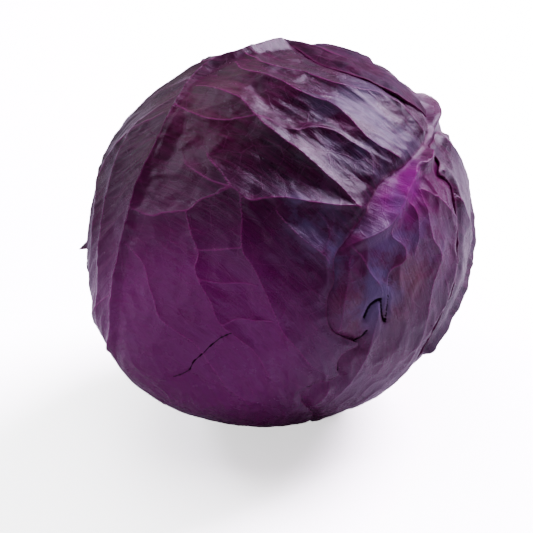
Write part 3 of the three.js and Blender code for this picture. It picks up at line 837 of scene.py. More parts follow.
def vein_net_group() -> bpy.types.NodeTree:
    """Builds the group of fine netted veins between the ribs, at two sizes.

    Returns:
        The group.
    """
    plan, given, out = new_group(
        "vein_net",
        {"Vector": VECTOR, "Scale": NUMBER, "Width": NUMBER},
        {"Mask": NUMBER, "Cell": NUMBER},
    )
    place = given.outputs["Vector"]
    warp = plan.add("ShaderNodeTexNoise", inputs={"Vector": place, "Scale": 14.0, "Detail": 2.0})
    offset = plan.add(
        "ShaderNodeVectorMath", operation="MULTIPLY_ADD",
        inputs={0: warp.outputs["Color"], 1: (0.035, 0.035, 0.0), 2: place},
    )
    masks, swell = [], []
    for factor, width in ((1.0, 1.0), (2.6, 1.6)):
        scale = plan.share(given.outputs["Scale"], factor)
        cells = plan.add(
            "ShaderNodeTexVoronoi", feature="DISTANCE_TO_EDGE", voronoi_dimensions="2D",
            inputs={"Vector": offset.outputs[0], "Scale": scale},
        )
        limit = plan.share(given.outputs["Width"], width)
        masks.append(plan.spread(cells.outputs["Distance"], 0.0, limit, 1.0, 0.0))
        swell.append(plan.spread(cells.outputs["Distance"], 0.0, 0.45))
    plan.feed(out.inputs["Mask"], plan.sum("MAXIMUM", masks[0], plan.share(masks[1], 0.5)))
    plan.feed(out.inputs["Cell"], swell[0])
    return plan.tree


def fine_grain_group() -> bpy.types.NodeTree:
    """Builds the group of skin grain, streaks along the leaf, pale specks and blotches.

    Returns:
        The group.
    """
    plan, given, out = new_group(
        "skin_grain",
        {"Vector": VECTOR, "Flow": VECTOR},
        {"Grain": NUMBER, "Streak": NUMBER, "Speck": NUMBER, "Blotch": NUMBER},
    )
    place = given.outputs["Vector"]
    stretched = plan.add(
        "ShaderNodeMapping", inputs={"Vector": given.outputs["Flow"], "Scale": (62.0, 6.5, 1.0)}
    )
    dots = plan.add(
        "ShaderNodeTexVoronoi", feature="F1", voronoi_dimensions="2D",
        inputs={"Vector": place, "Scale": 42.0},
    )
    results = {
        "Grain": plan.noise(place, 260.0, 4, 0.6),
        "Streak": plan.noise(stretched.outputs[0], 1.0, 5, 0.62),
        "Speck": plan.spread(dots.outputs["Distance"], 0.03, 0.055, 1, 0),
        "Blotch": plan.noise(place, 4.2, 5, 0.62),
    }
    for name, value in results.items():
        plan.feed(out.inputs[name], value)
    return plan.tree


@dataclass(frozen=True)
class LeafFinish:
    """Colours and gloss of a leaf's skin."""

    name: str
    lamina: Colour = (0.028, 0.0004, 0.018)
    deep: Colour = (0.0040, 0.0001, 0.0028)
    wine: Colour = (0.058, 0.0006, 0.022)
    # clear purple, brightened as painted bounce light from the floor
    vivid_and_bounce: Colour = (0.210, 0.0012, 0.170)
    blush: Colour = (0.26, 0.002, 0.24)
    bloom: Colour = (0.13, 0.10, 0.28)
    bruise: Colour = (0.22, 0.08, 0.09)
    vein: Colour = (0.19, 0.0025, 0.105)
    bright_vein: Colour = (0.62, 0.04, 0.42)
    pale: Colour = (0.46, 0.30, 0.38)
    # painted shade: the near black inside of the cracks
    crack: Colour = (0.002, 0.0003, 0.0015)
    sheen: tuple[float, float, float, float] = (0.88, 0.74, 1.0, 1.0)
    wax: float = 0.03  # bloom all over
    roughness: float = 0.26
    gloss: float = 0.38
    net_scale: float = 9.0
    net_width: float = 0.035
    bump_strength: float = 0.6
    bump_distance: float = 0.0008

    def material(self, net: bpy.types.NodeTree, grain: bpy.types.NodeTree) -> bpy.types.Material:
        """Builds the material.

        Args:
            net: the group of netted veins.
            grain: the group of skin grain.

        Returns:
            The material.
        """
        material, plan = new_material(self.name)
        mapped = plan.add("ShaderNodeUVMap", uv_map="leaf").outputs[0]
        flow = plan.add("ShaderNodeUVMap", uv_map="flow").outputs[0]
        netted = plan.add(
            "ShaderNodeGroup", node_tree=net,
            inputs={"Vector": mapped, "Scale": self.net_scale, "Width": self.net_width},
        ).outputs
        grained = plan.add(
            "ShaderNodeGroup", node_tree=grain, inputs={"Vector": mapped, "Flow": flow}
        ).outputs
        ridge = plan.spread(plan.attribute("vein_distance"), 0.10, 0.55, 1, 0)
        crest = plan.sum("MULTIPLY", ridge, plan.attribute("vein_tint"))
        # painted shade along the cracks, which also takes their gloss away
        crack = plan.spread(plan.attribute("crack_shade_distance"), 0.10, 0.34, 1, 0)
        wax = plan.sum("ADD", plan.attribute(Stain.BLOOM.value), self.wax)
        waxed = plan.spread(grained["Blotch"], 0.42, 0.60, 0.08, 1.0)
        wax = plan.sum("MULTIPLY", wax, waxed)

        rough = plan.spread(
            grained["Blotch"], 0.3, 0.7, self.roughness - 0.07, self.roughness + 0.08
        )
        gloss = plan.spread(plan.attribute(Stain.BLUSH.value), 0, 0.6, self.gloss, 0.08)
        gloss = plan.sum("MULTIPLY", gloss, plan.spread(grained["Blotch"], 0.3, 0.65, 0.7, 1.15))
        height = self.height(plan, netted, grained, crest)
        plan.skin({
            "Base Color": self.colour(plan, netted, grained, crest, crack, wax),
            "Roughness": plan.sum("ADD", rough, plan.share(wax, 0.12)),
            "Normal": plan.bump(height, self.bump_strength, self.bump_distance),
            # no gloss where the cracks' shade is painted
            "Specular IOR Level": plan.sum("MULTIPLY", gloss, plan.spread(crack, 0, 1, 1, 0)),
            "Specular Tint": self.sheen,
        })
        return material

    def colour(
        self, plan: NodePlan, netted: bpy.types.bpy_prop_collection,
        grained: bpy.types.bpy_prop_collection, crest: Value, crack: Value, wax: Value,
    ) -> bpy.types.NodeSocket:
        """Lays the colours over one another.

        Args:
            plan: the material's nodes.
            netted: outputs of the net group.
            grained: outputs of the grain group.
            crest: where ribs are.
            crack: where the painted shade of the cracks is.
            wax: how thick the bloom is.

        Returns:
            The colour.
        """
        blotch = plan.spread(grained["Blotch"], 0.32, 0.68)
        streak = plan.spread(grained["Streak"], 0.35, 0.75)
        colour = plan.blend(plan.share(blotch, 0.6), self.lamina, self.deep)
        stained = (
            (Stain.DEEP, self.deep, 0.9), (Stain.WINE, self.wine, 0.9),
            # the clear purple stain is partly painted bounce light from the floor
            (Stain.VIVID_AND_BOUNCE, self.vivid_and_bounce, 0.9), (Stain.BRUISE, self.bruise, 0.6),
            (Stain.BLUSH, self.blush, 0.95),
        )
        for stain, tone, most in stained:
            colour = plan.blend(plan.share(plan.attribute(stain.value), most), colour, tone)
        colour = plan.blend(plan.share(streak, 0.30), colour, self.vein)
        bright = plan.blend(0.24, colour, self.bright_vein)
        net_share = plan.share(netted["Mask"], 0.42)
        colour = plan.blend(net_share, colour, plan.blend(0.5, colour, bright))
        off_midrib = plan.spread(plan.attribute("midrib"), 0, 1, 0.9, 0.5)
        colour = plan.blend(plan.sum("MULTIPLY", crest, off_midrib), colour, bright)
        over = (
            (wax, 0.6, self.bloom), (plan.attribute("pale"), 0.85, self.pale),
            # the cracks get their painted shade here
            (plan.attribute("rim"), 0.5, self.vein), (crack, 0.95, self.crack),
            (grained["Speck"], 0.25, self.bloom),
        )
        for where, most, tone in over:
            colour = plan.blend(plan.share(where, most), colour, tone)
        return colour

    def height(
        self, plan: NodePlan, netted: bpy.types.bpy_prop_collection,
        grained: bpy.types.bpy_prop_collection, crest: Value,
    ) -> bpy.types.NodeSocket:
        """Adds up the finest relief.

        Args:
            plan: the material's nodes.
            netted: outputs of the net group.
            grained: outputs of the grain group.
            crest: where ribs are.

        Returns:
            The height.
        """
        height = plan.share(netted["Mask"], 0.12)
        parts = (
            (netted["Cell"], 0.5), (crest, 0.35), (grained["Streak"], 0.7), (grained["Grain"], 0.30),
        )
        for value, part in parts:
            height = plan.sum("ADD", height, plan.share(value, part))
        return height


# ---------------------------------------------------------------- pieces


def add_object(name: str, data: bpy.types.ID) -> bpy.types.Object:
    """A new object in the scene.

    Args:
        name: its name.
        data: its mesh, light or camera.

    Returns:
        The object.
    """
    thing = bpy.data.objects.new(name, data)
    bpy.context.scene.collection.objects.link(thing)
    return thing


def to_mesh(bm: bmesh.types.BMesh, name: str) -> bpy.types.Mesh:
    """A mesh with the contents of bm, which is freed.

    Args:
        bm: what it is made of.
        name: its name.

    Returns:
        The mesh.
    """
    mesh = bpy.data.meshes.new(name)
    bm.to_mesh(mesh)
    bm.free()
    return mesh


def place_verts(bm: bmesh.types.BMesh, d: np.ndarray, radius: np.ndarray) -> None:
    """Puts each vertex of bm at a radius along its direction."""
    for vert, place in zip(bm.verts, HEAD.place(d, radius)):
        vert.co = place


def carry(mesh: bpy.types.Mesh, masks: Masks) -> None:
    """Gives the vertices of a mesh numbers that its material reads."""
    for name, values in masks.items():
        data = mesh.attributes.new(name, "FLOAT", "POINT").data
        data.foreach_set("value", values.astype(np.float32))


def make_piece(
    name: str, node: str, mesh: bpy.types.Mesh, material: bpy.types.Material,
    sharp: float | None = None,
) -> bpy.types.Object:
    """Dresses a mesh, puts it under the root body and hides the CAD part it stands for.

    Args:
        name: of the piece.
        node: the CAD node it stands for.
        mesh: its shape.
        material: its finish.
        sharp: edges that turn by more than these degrees stay sharp.

    Returns:
        The piece.
    """
    mesh.shade_smooth()
    if sharp is not None:
        mesh.set_sharp_from_angle(angle=math.radians(sharp))
    mesh.materials.append(material)
    piece = add_object(name, mesh)
    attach(piece, "root")
    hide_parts(node)
    log.info("%s: %d vertices", piece.name, len(mesh.vertices))
    return piece


@dataclass
class WrapperLeaf:
    """One wrapper leaf: its drawing on its map, its mesh and its finish."""

    spec: LeafSpec
    lamina: float = 0.9  # thickness
    thin_rim: float = 0.5
    thin_reach: float = 4.0  # from the margin to the full thickness
    hug: float = 0.8  # how far the margin bends down to what is under it
    hug_reach: float = 5.0
    pressed: tuple[float, float] = (-7.0, 3.0)  # ribs sink from here to there under a leaf
    stem_clearance: float = 15.6  # how near its margin comes to the head's axis
    wave_counts: tuple[int, int] = (11, 23)  # round the margin
    line_wander: Place = (0.45, 7.0)  # millimetres aside, and across a bend
    margin_wander: Places = ((0.8, 9.0), (0.35, 3.5))
    midrib_foot: Place = (5.5, 3.5)  # reach of its tent, and how much more at the stem
    midrib_width: Place = (1.1, 2.2)  # of its pale streak, and how much more at the stem
    midrib_swell: float = 0.4  # how much higher it is at the stem
    tent_powers: Place = (1.3, 1.6)  # how hollow the sides of midrib and ribs are
    ridge: float = 0.8  # half the width of a rib's crest
    rib_fade: float = 3.5  # ribs fade out over this distance at the margin
    unevenness: Place = (0.10, 5.5)  # height and size
    wrinkle_sizes: tuple[tuple[float, float, int], ...] = (
        (4.2, 26, 0), (1.9, 13, 5), (11, 17, 9),
    )  # across the ribs, along them, and which noise: broad, narrow, creases
    wrinkle_heights: tuple[float, float, float] = (0.26, 0.11, 0.45)
    crease_narrowness: float = 5.0
    crack_reach: float = 12.0
    rim_width: float = 0.6
    pale_polar: Place = (12.0, 34.0)  # pale from the stem to here, and fading to there
    side_length: float = 74.0  # of a ruled rib
    sharp: float = 55.0  # degrees

    def __post_init__(self) -> None:
        """Draws the leaf on its map."""
        self.map = LeafMap(self.spec.azimuth, self.spec.middle)
        draw = drawer(self.spec.seed)
        self.outline = self.margin_line((draw() * 6, draw() * 6))
        self.closed = np.concatenate([self.outline, self.outline[:1]])
        self.midrib = self.line(self.spec.midrib)
        ribs = self.spec.ribs + self.ruled_ribs()
        self.ribs = [(rib, self.line(rib.places)) for rib in ribs]
        self.cracks = [(crack, self.line(crack.places)) for crack in self.spec.cracks]

    def on_map(self, places: Places, closed: bool) -> np.ndarray:
        """A smooth curve in the map, through places counted from the midrib."""
        turned = tuple((self.spec.azimuth + a, p) for a, p in places)
        return self.map.to_map(curve_on_head(turned, closed))

    def line(self, places: Places) -> np.ndarray:
        """A line of the leaf in its map, from places counted from its midrib."""
        return self.wander(self.on_map(places, False), *self.line_wander)

    def wander(self, line: np.ndarray, reach: float, size: float) -> np.ndarray:
        """A line with small unevenness.

        Args:
            line: (corners, 2) in the map.
            reach: millimetres aside.
            size: millimetres across a bend.

        Returns:
            The uneven line.
        """
        which = np.full(len(line), float(self.spec.seed))
        rows = np.column_stack([line / size, which]).tolist()
        return line + reach * np.array([noise.noise_vector(row)[:2] for row in rows])

    def margin_line(self, phases: tuple[float, float]) -> np.ndarray:
        """The margin in the map, with its waves, kept off the stem.

        Args:
            phases: where the long and the short waves start.

        Returns:
            The corners of the margin, the first not repeated.
        """
        points = self.on_map(self.spec.margin, True)
        turn = 2 * np.pi * np.arange(len(points)) / len(points)
        long, short = (np.sin(n * turn + start) for n, start in zip(self.wave_counts, phases))
        waves = long + 0.6 * short
        points = points * (1 + self.spec.waves * waves / np.hypot(*points.T))[:, None]
        for reach, size in self.margin_wander:
            points = self.wander(points, reach, size)
        d = self.map.to_direction(points)
        nearest = math.asin(self.stem_clearance / HEAD.waist_radius)
        azimuth = np.degrees(np.arctan2(d[:, 1], d[:, 0]))
        kept = self.map.to_map(direction(azimuth, np.full(len(azimuth), math.degrees(nearest))))
        return np.where((polar_of(d) >= nearest)[:, None], points, kept)

    def ruled_ribs(self) -> tuple[Rib, ...]:
        """Side ribs by rule: nearly square to the midrib at the base, then leaning to the tip.

        Returns:
            The ribs.
        """
        draw = drawer(self.spec.seed * 7)
        ribs = []
        for side, starts in zip((-1, 1), self.spec.rule):
            for start in starts:
                lean = -4 + 20 * (start - 20) / 110 + 3 * draw()
                places = []
                for reach in (0.05, 0.28, 0.52, 0.78, 1.02):
                    wander = 6 * math.sin(2.5 * reach + 3 * draw())
                    polar = start + (lean + wander) * reach
                    narrowed = max(0.45, math.sin(math.radians(polar)))
                    places.append((side * self.side_length * reach / narrowed, polar))
                ribs.append(Rib(tuple(places), self.spec.rule_height))
        return tuple(ribs)

    def depth(self, d: np.ndarray) -> np.ndarray:
        """How far inside the margin the leaf is.

        Args:
            d: directions.

        Returns:
            Millimetres for each direction, less than 0 outside.
        """
        points = self.map.to_map(d)
        result = np.full(len(d), -FAR)
        near = d @ self.map.middle > -0.6
        result[near] = self.signed(points[near])
        return result

    def signed(self, points: np.ndarray) -> np.ndarray:
        """Distances inside the margin of places in the map, less than 0 outside."""
        distance = distance_near(points, self.closed, FAR)
        return np.where(inside(points, self.outline), distance, -distance)

    def relief(
        self, points: np.ndarray, margin: np.ndarray
    ) -> tuple[np.ndarray, np.ndarray, np.ndarray, np.ndarray]:
        """Height and colour of the ribs.

        Args:
            points: places in the map.
            margin: their distances from the margin.

        Returns:
            The height, the distance from the nearest rib, its share of rib colour, and the
            share of midrib.
        """
        distance, share, _ = nearest_on_line(points, self.midrib)
        taper = 1 - 0.5 * share
        base = np.maximum(0, 1 - 4 * share)
        foot = (self.midrib_foot[0] + self.midrib_foot[1] * base) * (0.6 + 0.4 * taper)
        crest = self.spec.midrib_height * taper + self.midrib_swell * base
        tents = (crest * np.maximum(0, 1 - distance / foot) ** self.tent_powers[0]) ** 3
        middle = bell(distance, self.midrib_width[0] + self.midrib_width[1] * base)
        nearest, tint = distance.copy(), np.ones(len(points))
        for rib, line in self.ribs:
            near = near_box(points, line, rib.foot)
            if not len(near):
                continue
            apart, run, _ = nearest_on_line(points[near], line)
            swell = 0.4 + 0.6 * np.sin(np.pi * (0.08 + 0.84 * run))
            slope = np.maximum(0, 1 - apart / rib.foot) ** self.tent_powers[1]
            tent = rib.height * swell * slope
            tents[near] += (tent + rib.crest * bell(apart, self.ridge) * swell) ** 3
            closer = apart < nearest[near]
            tint[near] = np.where(closer, rib.tint * (0.4 + 0.6 * swell), tint[near])
            nearest[near] = np.minimum(apart, nearest[near])
        return tents ** (1 / 3) * smoothstep(margin, 0, self.rib_fade), nearest, tint, middle

    def flow(self, d: np.ndarray) -> np.ndarray:
        """Coordinates that follow the side ribs, for streaks, creases and wrinkles.

        Args:
            d: directions.

        Returns:
            Millimetres across the ribs and along them, of shape (count, 2).
        """
        turn = np.degrees(np.arctan2(d[:, 1], d[:, 0])) - self.spec.azimuth
        turn = np.radians((turn + 180) % 360 - 180)
        polar = polar_of(d)
        along = MEAN_RADIUS * turn * np.sin(polar)
        lean = np.where(turn < 0, *self.spec.lean)
        return np.column_stack([MEAN_RADIUS * polar - lean * np.abs(along), along])

    def wrinkles(self, flow: np.ndarray) -> np.ndarray:
        """Height of the wrinkles that run along the ribs, and of the creases between them.

        Args:
            flow: places across the ribs and along them.

        Returns:
            Millimetres for each place.
        """
        waves = np.array([
            [noise.noise((u / across, v / along, self.spec.seed + which))
             for across, along, which in self.wrinkle_sizes]
            for u, v in flow.tolist()
        ])
        broad, narrow, crease = waves.T
        creased = np.maximum(0, 1 - np.abs(crease) * self.crease_narrowness)
        high, low, sunk = self.wrinkle_heights
        return self.spec.wrinkled * (high * broad + low * narrow) + sunk * creased

    def split(self, points: np.ndarray) -> tuple[np.ndarray, np.ndarray]:
        """The cracks.

        Args:
            points: places in the map.

        Returns:
            Their depth, and the distance from the nearest painted crack shade, scaled by its width.
        """
        depth, nearest = np.zeros(len(points)), np.full(len(points), 3.0)
        for crack, line in self.cracks:
            apart = distance_near(points, line, self.crack_reach)
            depth = np.maximum(depth, crack.depth * bell(apart, crack.width))
            # painted shade along the cracks that have it
            if crack.shade_width > 0:
                nearest = np.minimum(nearest, apart / crack.shade_width)
        return depth, nearest

    def lifted(self, points: np.ndarray) -> np.ndarray:
        """How far the leaf stands off what is under it.

        Args:
            points: places in the map.

        Returns:
            Millimetres for each place.
        """
        total = np.zeros(len(points))
        for lift in self.spec.lifts:
            at = direction(self.spec.azimuth + lift.azimuth, lift.polar)[None]
            apart = np.hypot(*(points - self.map.to_map(at)[0]).T)
            total += lift.height * bell(apart, lift.spread)
        return total

    def covered(
        self, d: np.ndarray, outer: list["WrapperLeaf"]
    ) -> tuple[np.ndarray, np.ndarray, np.ndarray]:
        """What the leaves over this one do to it.

        Args:
            d: directions.
            outer: the leaves over it.

        Returns:
            How many layers deep it lies, smoothly; how many leaves lie over it; and its open
            share, which is 0 where it is pressed flat.
        """
        covers = [leaf.depth(d) for leaf in outer]
        under = sum((smoothstep(c, -HEAD.dip, 0) for c in covers), np.zeros(len(d)))
        between = sum(((c > 0).astype(float) for c in covers), np.zeros(len(d)))
        deepest = np.max(covers, axis=0) if covers else np.full(len(d), -FAR)
        return under, between, 1 - smoothstep(deepest, *self.pressed)

    def sheet(self) -> bmesh.types.BMesh:
        """The leaf as a flat slab in its map, at heights 0 and 1, cut to its margin.

        Returns:
            A closed mesh with vertices on the margin and on the crests of the ribs. Its
            underside has larger faces.
        """
        step = self.spec.step
        low, high = self.outline.min(0) - 2 * step, self.outline.max(0) + 2 * step
        counts = np.ceil((high - low) / step).astype(int)
        centre, size = (low + high) / 2, counts * step
        bm = bmesh.new()
        bmesh.ops.create_grid(
            bm, x_segments=int(counts[0]), y_segments=int(counts[1]), size=0.5,
            matrix=Matrix.Translation((*centre, 0)) @ Matrix.Diagonal((*size, 1, 1)),
        )
        signed = self.signed(np.array([v.co[:2] for v in bm.verts]))
        cut = [v for v, s in zip(bm.verts, signed) if s < -0.55 * step]
        bmesh.ops.delete(bm, geom=cut, context="VERTS")
        loose = [v for v in bm.verts if not v.link_faces]
        bmesh.ops.delete(bm, geom=loose, context="VERTS")
        self.snap(self.closed, [v for v in bm.verts if v.is_boundary], FAR)
        inner = [v for v in bm.verts if not v.is_boundary]
        for line in [self.midrib, *(line for _, line in [*self.cracks, *self.ribs])]:
            self.snap(line, inner, 0.5 * step)
        number = bm.verts.layers.int.new("number")
        for index, vert in enumerate(bm.verts):
            vert[number] = index
        raised = bmesh.ops.extrude_face_region(bm, geom=bm.faces[:])["geom"]
        raised = [g for g in raised if isinstance(g, bmesh.types.BMVert)]
        bmesh.ops.translate(bm, vec=(0, 0, 1), verts=raised)
        under = [v for v in bm.verts if all(w.co.z < 0.5 for f in v.link_faces for w in f.verts)]
        bmesh.ops.unsubdivide(bm, verts=under, iterations=2)
        return bm

    @staticmethod
    def snap(line: np.ndarray, verts: list[bmesh.types.BMVert], reach: float) -> None:
        """Moves vertices that are near a line onto it.

        Args:
            line: (corners, 2) in the map.
            verts: vertices of the flat sheet.
            reach: how near they have to be.
        """
        if not verts:
            return
        flat = np.array([v.co[:2] for v in verts])
        near = near_box(flat, line, reach)
        if not len(near):
            return
        distance, _, foot = nearest_on_line(flat[near], line)
        for index, apart, (x, y) in zip(near, distance, foot):
            if apart < reach:
                verts[index].co.x, verts[index].co.y = x, y

    def build(self, outer: list["WrapperLeaf"], material: bpy.types.Material) -> bpy.types.Object:
        """Lays the leaf on the head under the leaves outside it.

        Args:
            outer: the leaves over it.
            material: its finish.

        Returns:
            The piece.
        """
        bm = self.sheet()
        number = bm.verts.layers.int["number"]
        numbers = np.array([v[number] for v in bm.verts])
        rows = np.array([v.co[:] for v in bm.verts])
        points = np.empty((numbers.max() + 1, 2))
        points[numbers] = rows[:, :2]
        d = self.map.to_direction(points)
        margin = distance_near(points, self.closed, FAR)
        under, between, open_share = self.covered(d, outer)
        relief, apart, tint, middle = self.relief(points, margin)
        groove, from_crack_shade = self.split(points)
        flow = self.flow(d)
        fine = self.unevenness[0] * waviness(d, self.unevenness[1], self.spec.seed)
        fine = fine + self.wrinkles(flow)
        hug = self.hug * (1 - smoothstep(margin, 0, self.hug_reach))
        base = HEAD.radius(d) - HEAD.settle - HEAD.pitch * under + self.lifted(points) - hug
        raised = base + open_share * (relief + fine - groove)
        surface = np.minimum(raised, HEAD.floor(d, between))
        full = smoothstep(margin, 0, self.thin_reach)
        thick = self.thin_rim + (self.lamina - self.thin_rim) * full
        ground = np.minimum(base, surface)
        radius = np.where(rows[:, 2] > 0.5, surface[numbers], (ground - thick)[numbers])
        place_verts(bm, d[numbers], radius)
        hold = 1.5 * self.spec.step
        free = [v for v, m in zip(bm.verts, margin[numbers]) if m > hold and not v.is_boundary]
        bmesh.ops.smooth_vert(
            bm, verts=free, factor=0.5, use_axis_x=True, use_axis_y=True, use_axis_z=True
        )
        bmesh.ops.recalc_face_normals(bm, faces=bm.faces[:])
        mesh = to_mesh(bm, self.spec.name)
        masks = {
            "vein_distance": apart, "vein_tint": tint * open_share, "midrib": middle,
            "rim": bell(margin, self.rim_width), "crack_shade_distance": from_crack_shade,
            **self.stains_and_bounce(d, middle),
        }
        carry(mesh, {name: values[numbers] for name, values in masks.items()})
        self.unwrap(mesh, {"leaf": points[numbers], "flow": flow[numbers]})
        name = self.spec.name
        return make_piece(f"{name}_skin", name, mesh, material, self.sharp)

    def stains_and_bounce(self, d: np.ndarray, middle: np.ndarray) -> Masks:
        """Strength of each stain on the leaf, the painted bounce light among them.

        Args:
            d: directions.
            middle: the share of midrib at each.

        Returns:
            How strong each stain is, and how pale the leaf.
        """
        result = {}
        for stain in Stain:
            total = np.zeros(len(d))
            for patch in PATCHES:
                if patch.stain is stain and patch.leaf in ("", self.spec.name):
                    apart = angle_between(d, direction(patch.azimuth, patch.polar)) * MEAN_RADIUS
                    total = total + patch.strength * bell(apart, patch.spread)
            result[stain.value] = np.clip(total, 0, 1)
        near, far = self.pale_polar
        pale = smoothstep(-np.degrees(polar_of(d)), -far, -near)
        result["pale"] = pale * (0.35 + 0.65 * middle)
        return result

    @staticmethod
    def unwrap(mesh: bpy.types.Mesh, maps: Masks) -> None:
        """Gives the mesh its UV maps.

        Args:
            mesh: the leaf's mesh.
            maps: millimetres at each vertex, by the name of the UV map.
        """
        corner = np.empty(len(mesh.loops), np.int32)
        mesh.loops.foreach_get("vertex_index", corner)
        for name, places in maps.items():
            layer = mesh.uv_layers.new(name=name)
            layer.data.foreach_set("uv", (places[corner] / UV_UNIT).astype(np.float32).ravel())


@dataclass
class Heart:
    """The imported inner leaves, seen only in the gap round the stem."""

    below: float = 1.3  # under the innermost leaf
    socket: float = 15.0  # radius of the hole for the stem
    seat: float = 64.5  # where its bottom lies, from the head's centre
    colour: Colour = (0.20, 0.05, 0.17)
    pale: Colour = (0.50, 0.36, 0.44)

    def build(self, leaves: list[WrapperLeaf]) -> bpy.types.Object:
        """Builds the heart.

        Args:
            leaves: all the leaves round it.

        Returns:
            The piece.
        """
        bm = bmesh.new()
        bmesh.ops.create_icosphere(bm, subdivisions=6, radius=1.0)
        d = unit(np.array([v.co[:] for v in bm.verts]))
        covers = [leaf.depth(d) for leaf in leaves]
        under = sum(smoothstep(c, -HEAD.dip, 0) for c in covers)
        between = sum((c > 0).astype(float) for c in covers)
        radius = HEAD.radius(d) - HEAD.settle - self.below - HEAD.pitch * under
        radius = np.minimum(radius, HEAD.floor(d, between) - self.below)
        from_axis = np.hypot(d[:, 0], d[:, 1]) * radius
        seated = self.seat / np.maximum(-d[:, 2], 0.1)
        radius = np.where((d[:, 2] < 0) & (from_axis < self.socket), seated, radius)
        place_verts(bm, d, radius)
        bmesh.ops.recalc_face_normals(bm, faces=bm.faces[:])
        return make_piece("heart_core", "heart", to_mesh(bm, "heart"), self.material())

    def material(self) -> bpy.types.Material:
        """Pale purple, streaked.

        Returns:
            The material.
        """
        material, plan = new_material("heart_leaf")
        place = plan.add("ShaderNodeTexCoord").outputs["Object"]
        plan.skin({
            "Base Color": plan.blend(plan.noise(place, 60.0), self.colour, self.pale),
            "Roughness": 0.5,
            "Normal": plan.bump(plan.noise(place, 90.0), 0.4, 0.001),
        })
        return material


@dataclass
class Stem:
    """The cut stem."""

    radius: float = 14.0
    cut_at: float = 84.0  # from the head's centre
    side: Places = (
        (0.0, 0.0), (14.0, 0.0), (13.4, 6.0), (14.0, 9.0), (11.5, 16.0), (9.0, 18.0), (0.0, 18.0),
    )  # radius, and depth below the cut
    bevel: float = 1.2
    around: int = 64
    skin_depth: float = 6.0
    sharp: float = 50.0  # degrees
    flesh: Colour = (0.62, 0.55, 0.40)
    stained_flesh: Colour = (0.42, 0.32, 0.24)
    ring: Colour = (0.30, 0.26, 0.12)
    edge: Colour = (0.28, 0.12, 0.16)
    skin: Colour = (0.40, 0.22, 0.34)
    scar: Colour = (0.16, 0.09, 0.06)

    def build(self) -> bpy.types.Object:
        """Builds the stem.

        Returns:
            The piece.
        """
        bm = bmesh.new()
        verts = [bm.verts.new((r, 0, z - self.cut_at)) for r, z in self.side]
        edges = [bm.edges.new(pair) for pair in zip(verts, verts[1:])]
        bmesh.ops.spin(
            bm, geom=verts + edges, cent=(0, 0, 0), axis=(0, 0, 1), angle=2 * math.pi,
            steps=self.around, use_merge=True, use_duplicate=False, dvec=(0, 0, 0),
        )
        bmesh.ops.remove_doubles(bm, verts=bm.verts[:], dist=1e-4)
        bmesh.ops.recalc_face_normals(bm, faces=bm.faces[:])
        on_cut = 1 - self.cut_at
        rim = [e for e in bm.edges if e.calc_face_angle(0) > 1.0 and e.verts[0].co.z < on_cut]
        bmesh.ops.bevel(
            bm, geom=rim, offset=self.bevel, affect="EDGES", segments=3, profile=0.5, material=-1
        )
        rows = np.array([v.co[:] for v in bm.verts])
        place_verts(bm, unit(rows), np.linalg.norm(rows, axis=1))
        mesh = to_mesh(bm, "stem")
        across = np.hypot(rows[:, 0], rows[:, 1]) / self.radius
        carry(mesh, {"across": across, "depth": (rows[:, 2] + self.cut_at) / self.skin_depth})
        return make_piece("stem_cut", "stem", mesh, self.material(), self.sharp)

    def material(self) -> bpy.types.Material:
        """Pale woody flesh with rings, and a darker skin with scars.

        Returns:
            The material.
        """
        material, plan = new_material("stem_flesh")
        place = plan.add("ShaderNodeTexCoord").outputs["Object"]
        inward = plan.sum("SUBTRACT", plan.attribute("across"), 0.08)
        wobble = plan.sum("MULTIPLY_ADD", plan.noise(place, 180.0), 0.16, inward)
        outer, inner = plan.spread(wobble, 0.78, 0.70), plan.spread(wobble, 0.55, 0.68)
        ring = plan.sum("MULTIPLY", inner, outer)
        tone = plan.blend(plan.noise(place, 160.0, 5, 0.65), self.flesh, self.stained_flesh)
        over = (
            (ring, 0.55, self.ring),
            (plan.spread(wobble, 0.84, 0.97), 0.7, self.edge),
            (plan.spread(plan.attribute("depth"), 0.15, 1.2), 0.6, self.skin),
            (plan.spread(plan.noise(place, 110.0, 4, 0.7), 0.55, 0.7), 0.4, self.scar),
        )
        for where, most, colour in over:
            tone = plan.blend(plan.share(where, most), tone, colour)
        height = plan.sum("ADD", plan.noise(place, 300.0, 4), plan.share(ring, 0.6))
        plan.skin({
            "Base Color": tone, "Roughness": 0.65, "Normal": plan.bump(height, 0.8, 0.0012),
        })
        return material


# ---------------------------------------------------------------- studio


@dataclass(frozen=True)
class Lamp:
    """A square soft light."""

    name: str
    place: tuple[float, float, float]
    size: float
    power: float  # watts
    colour: Colour = (1.0, 1.0, 1.0)
    in_gloss: bool = True  # whether glossy skin mirrors it


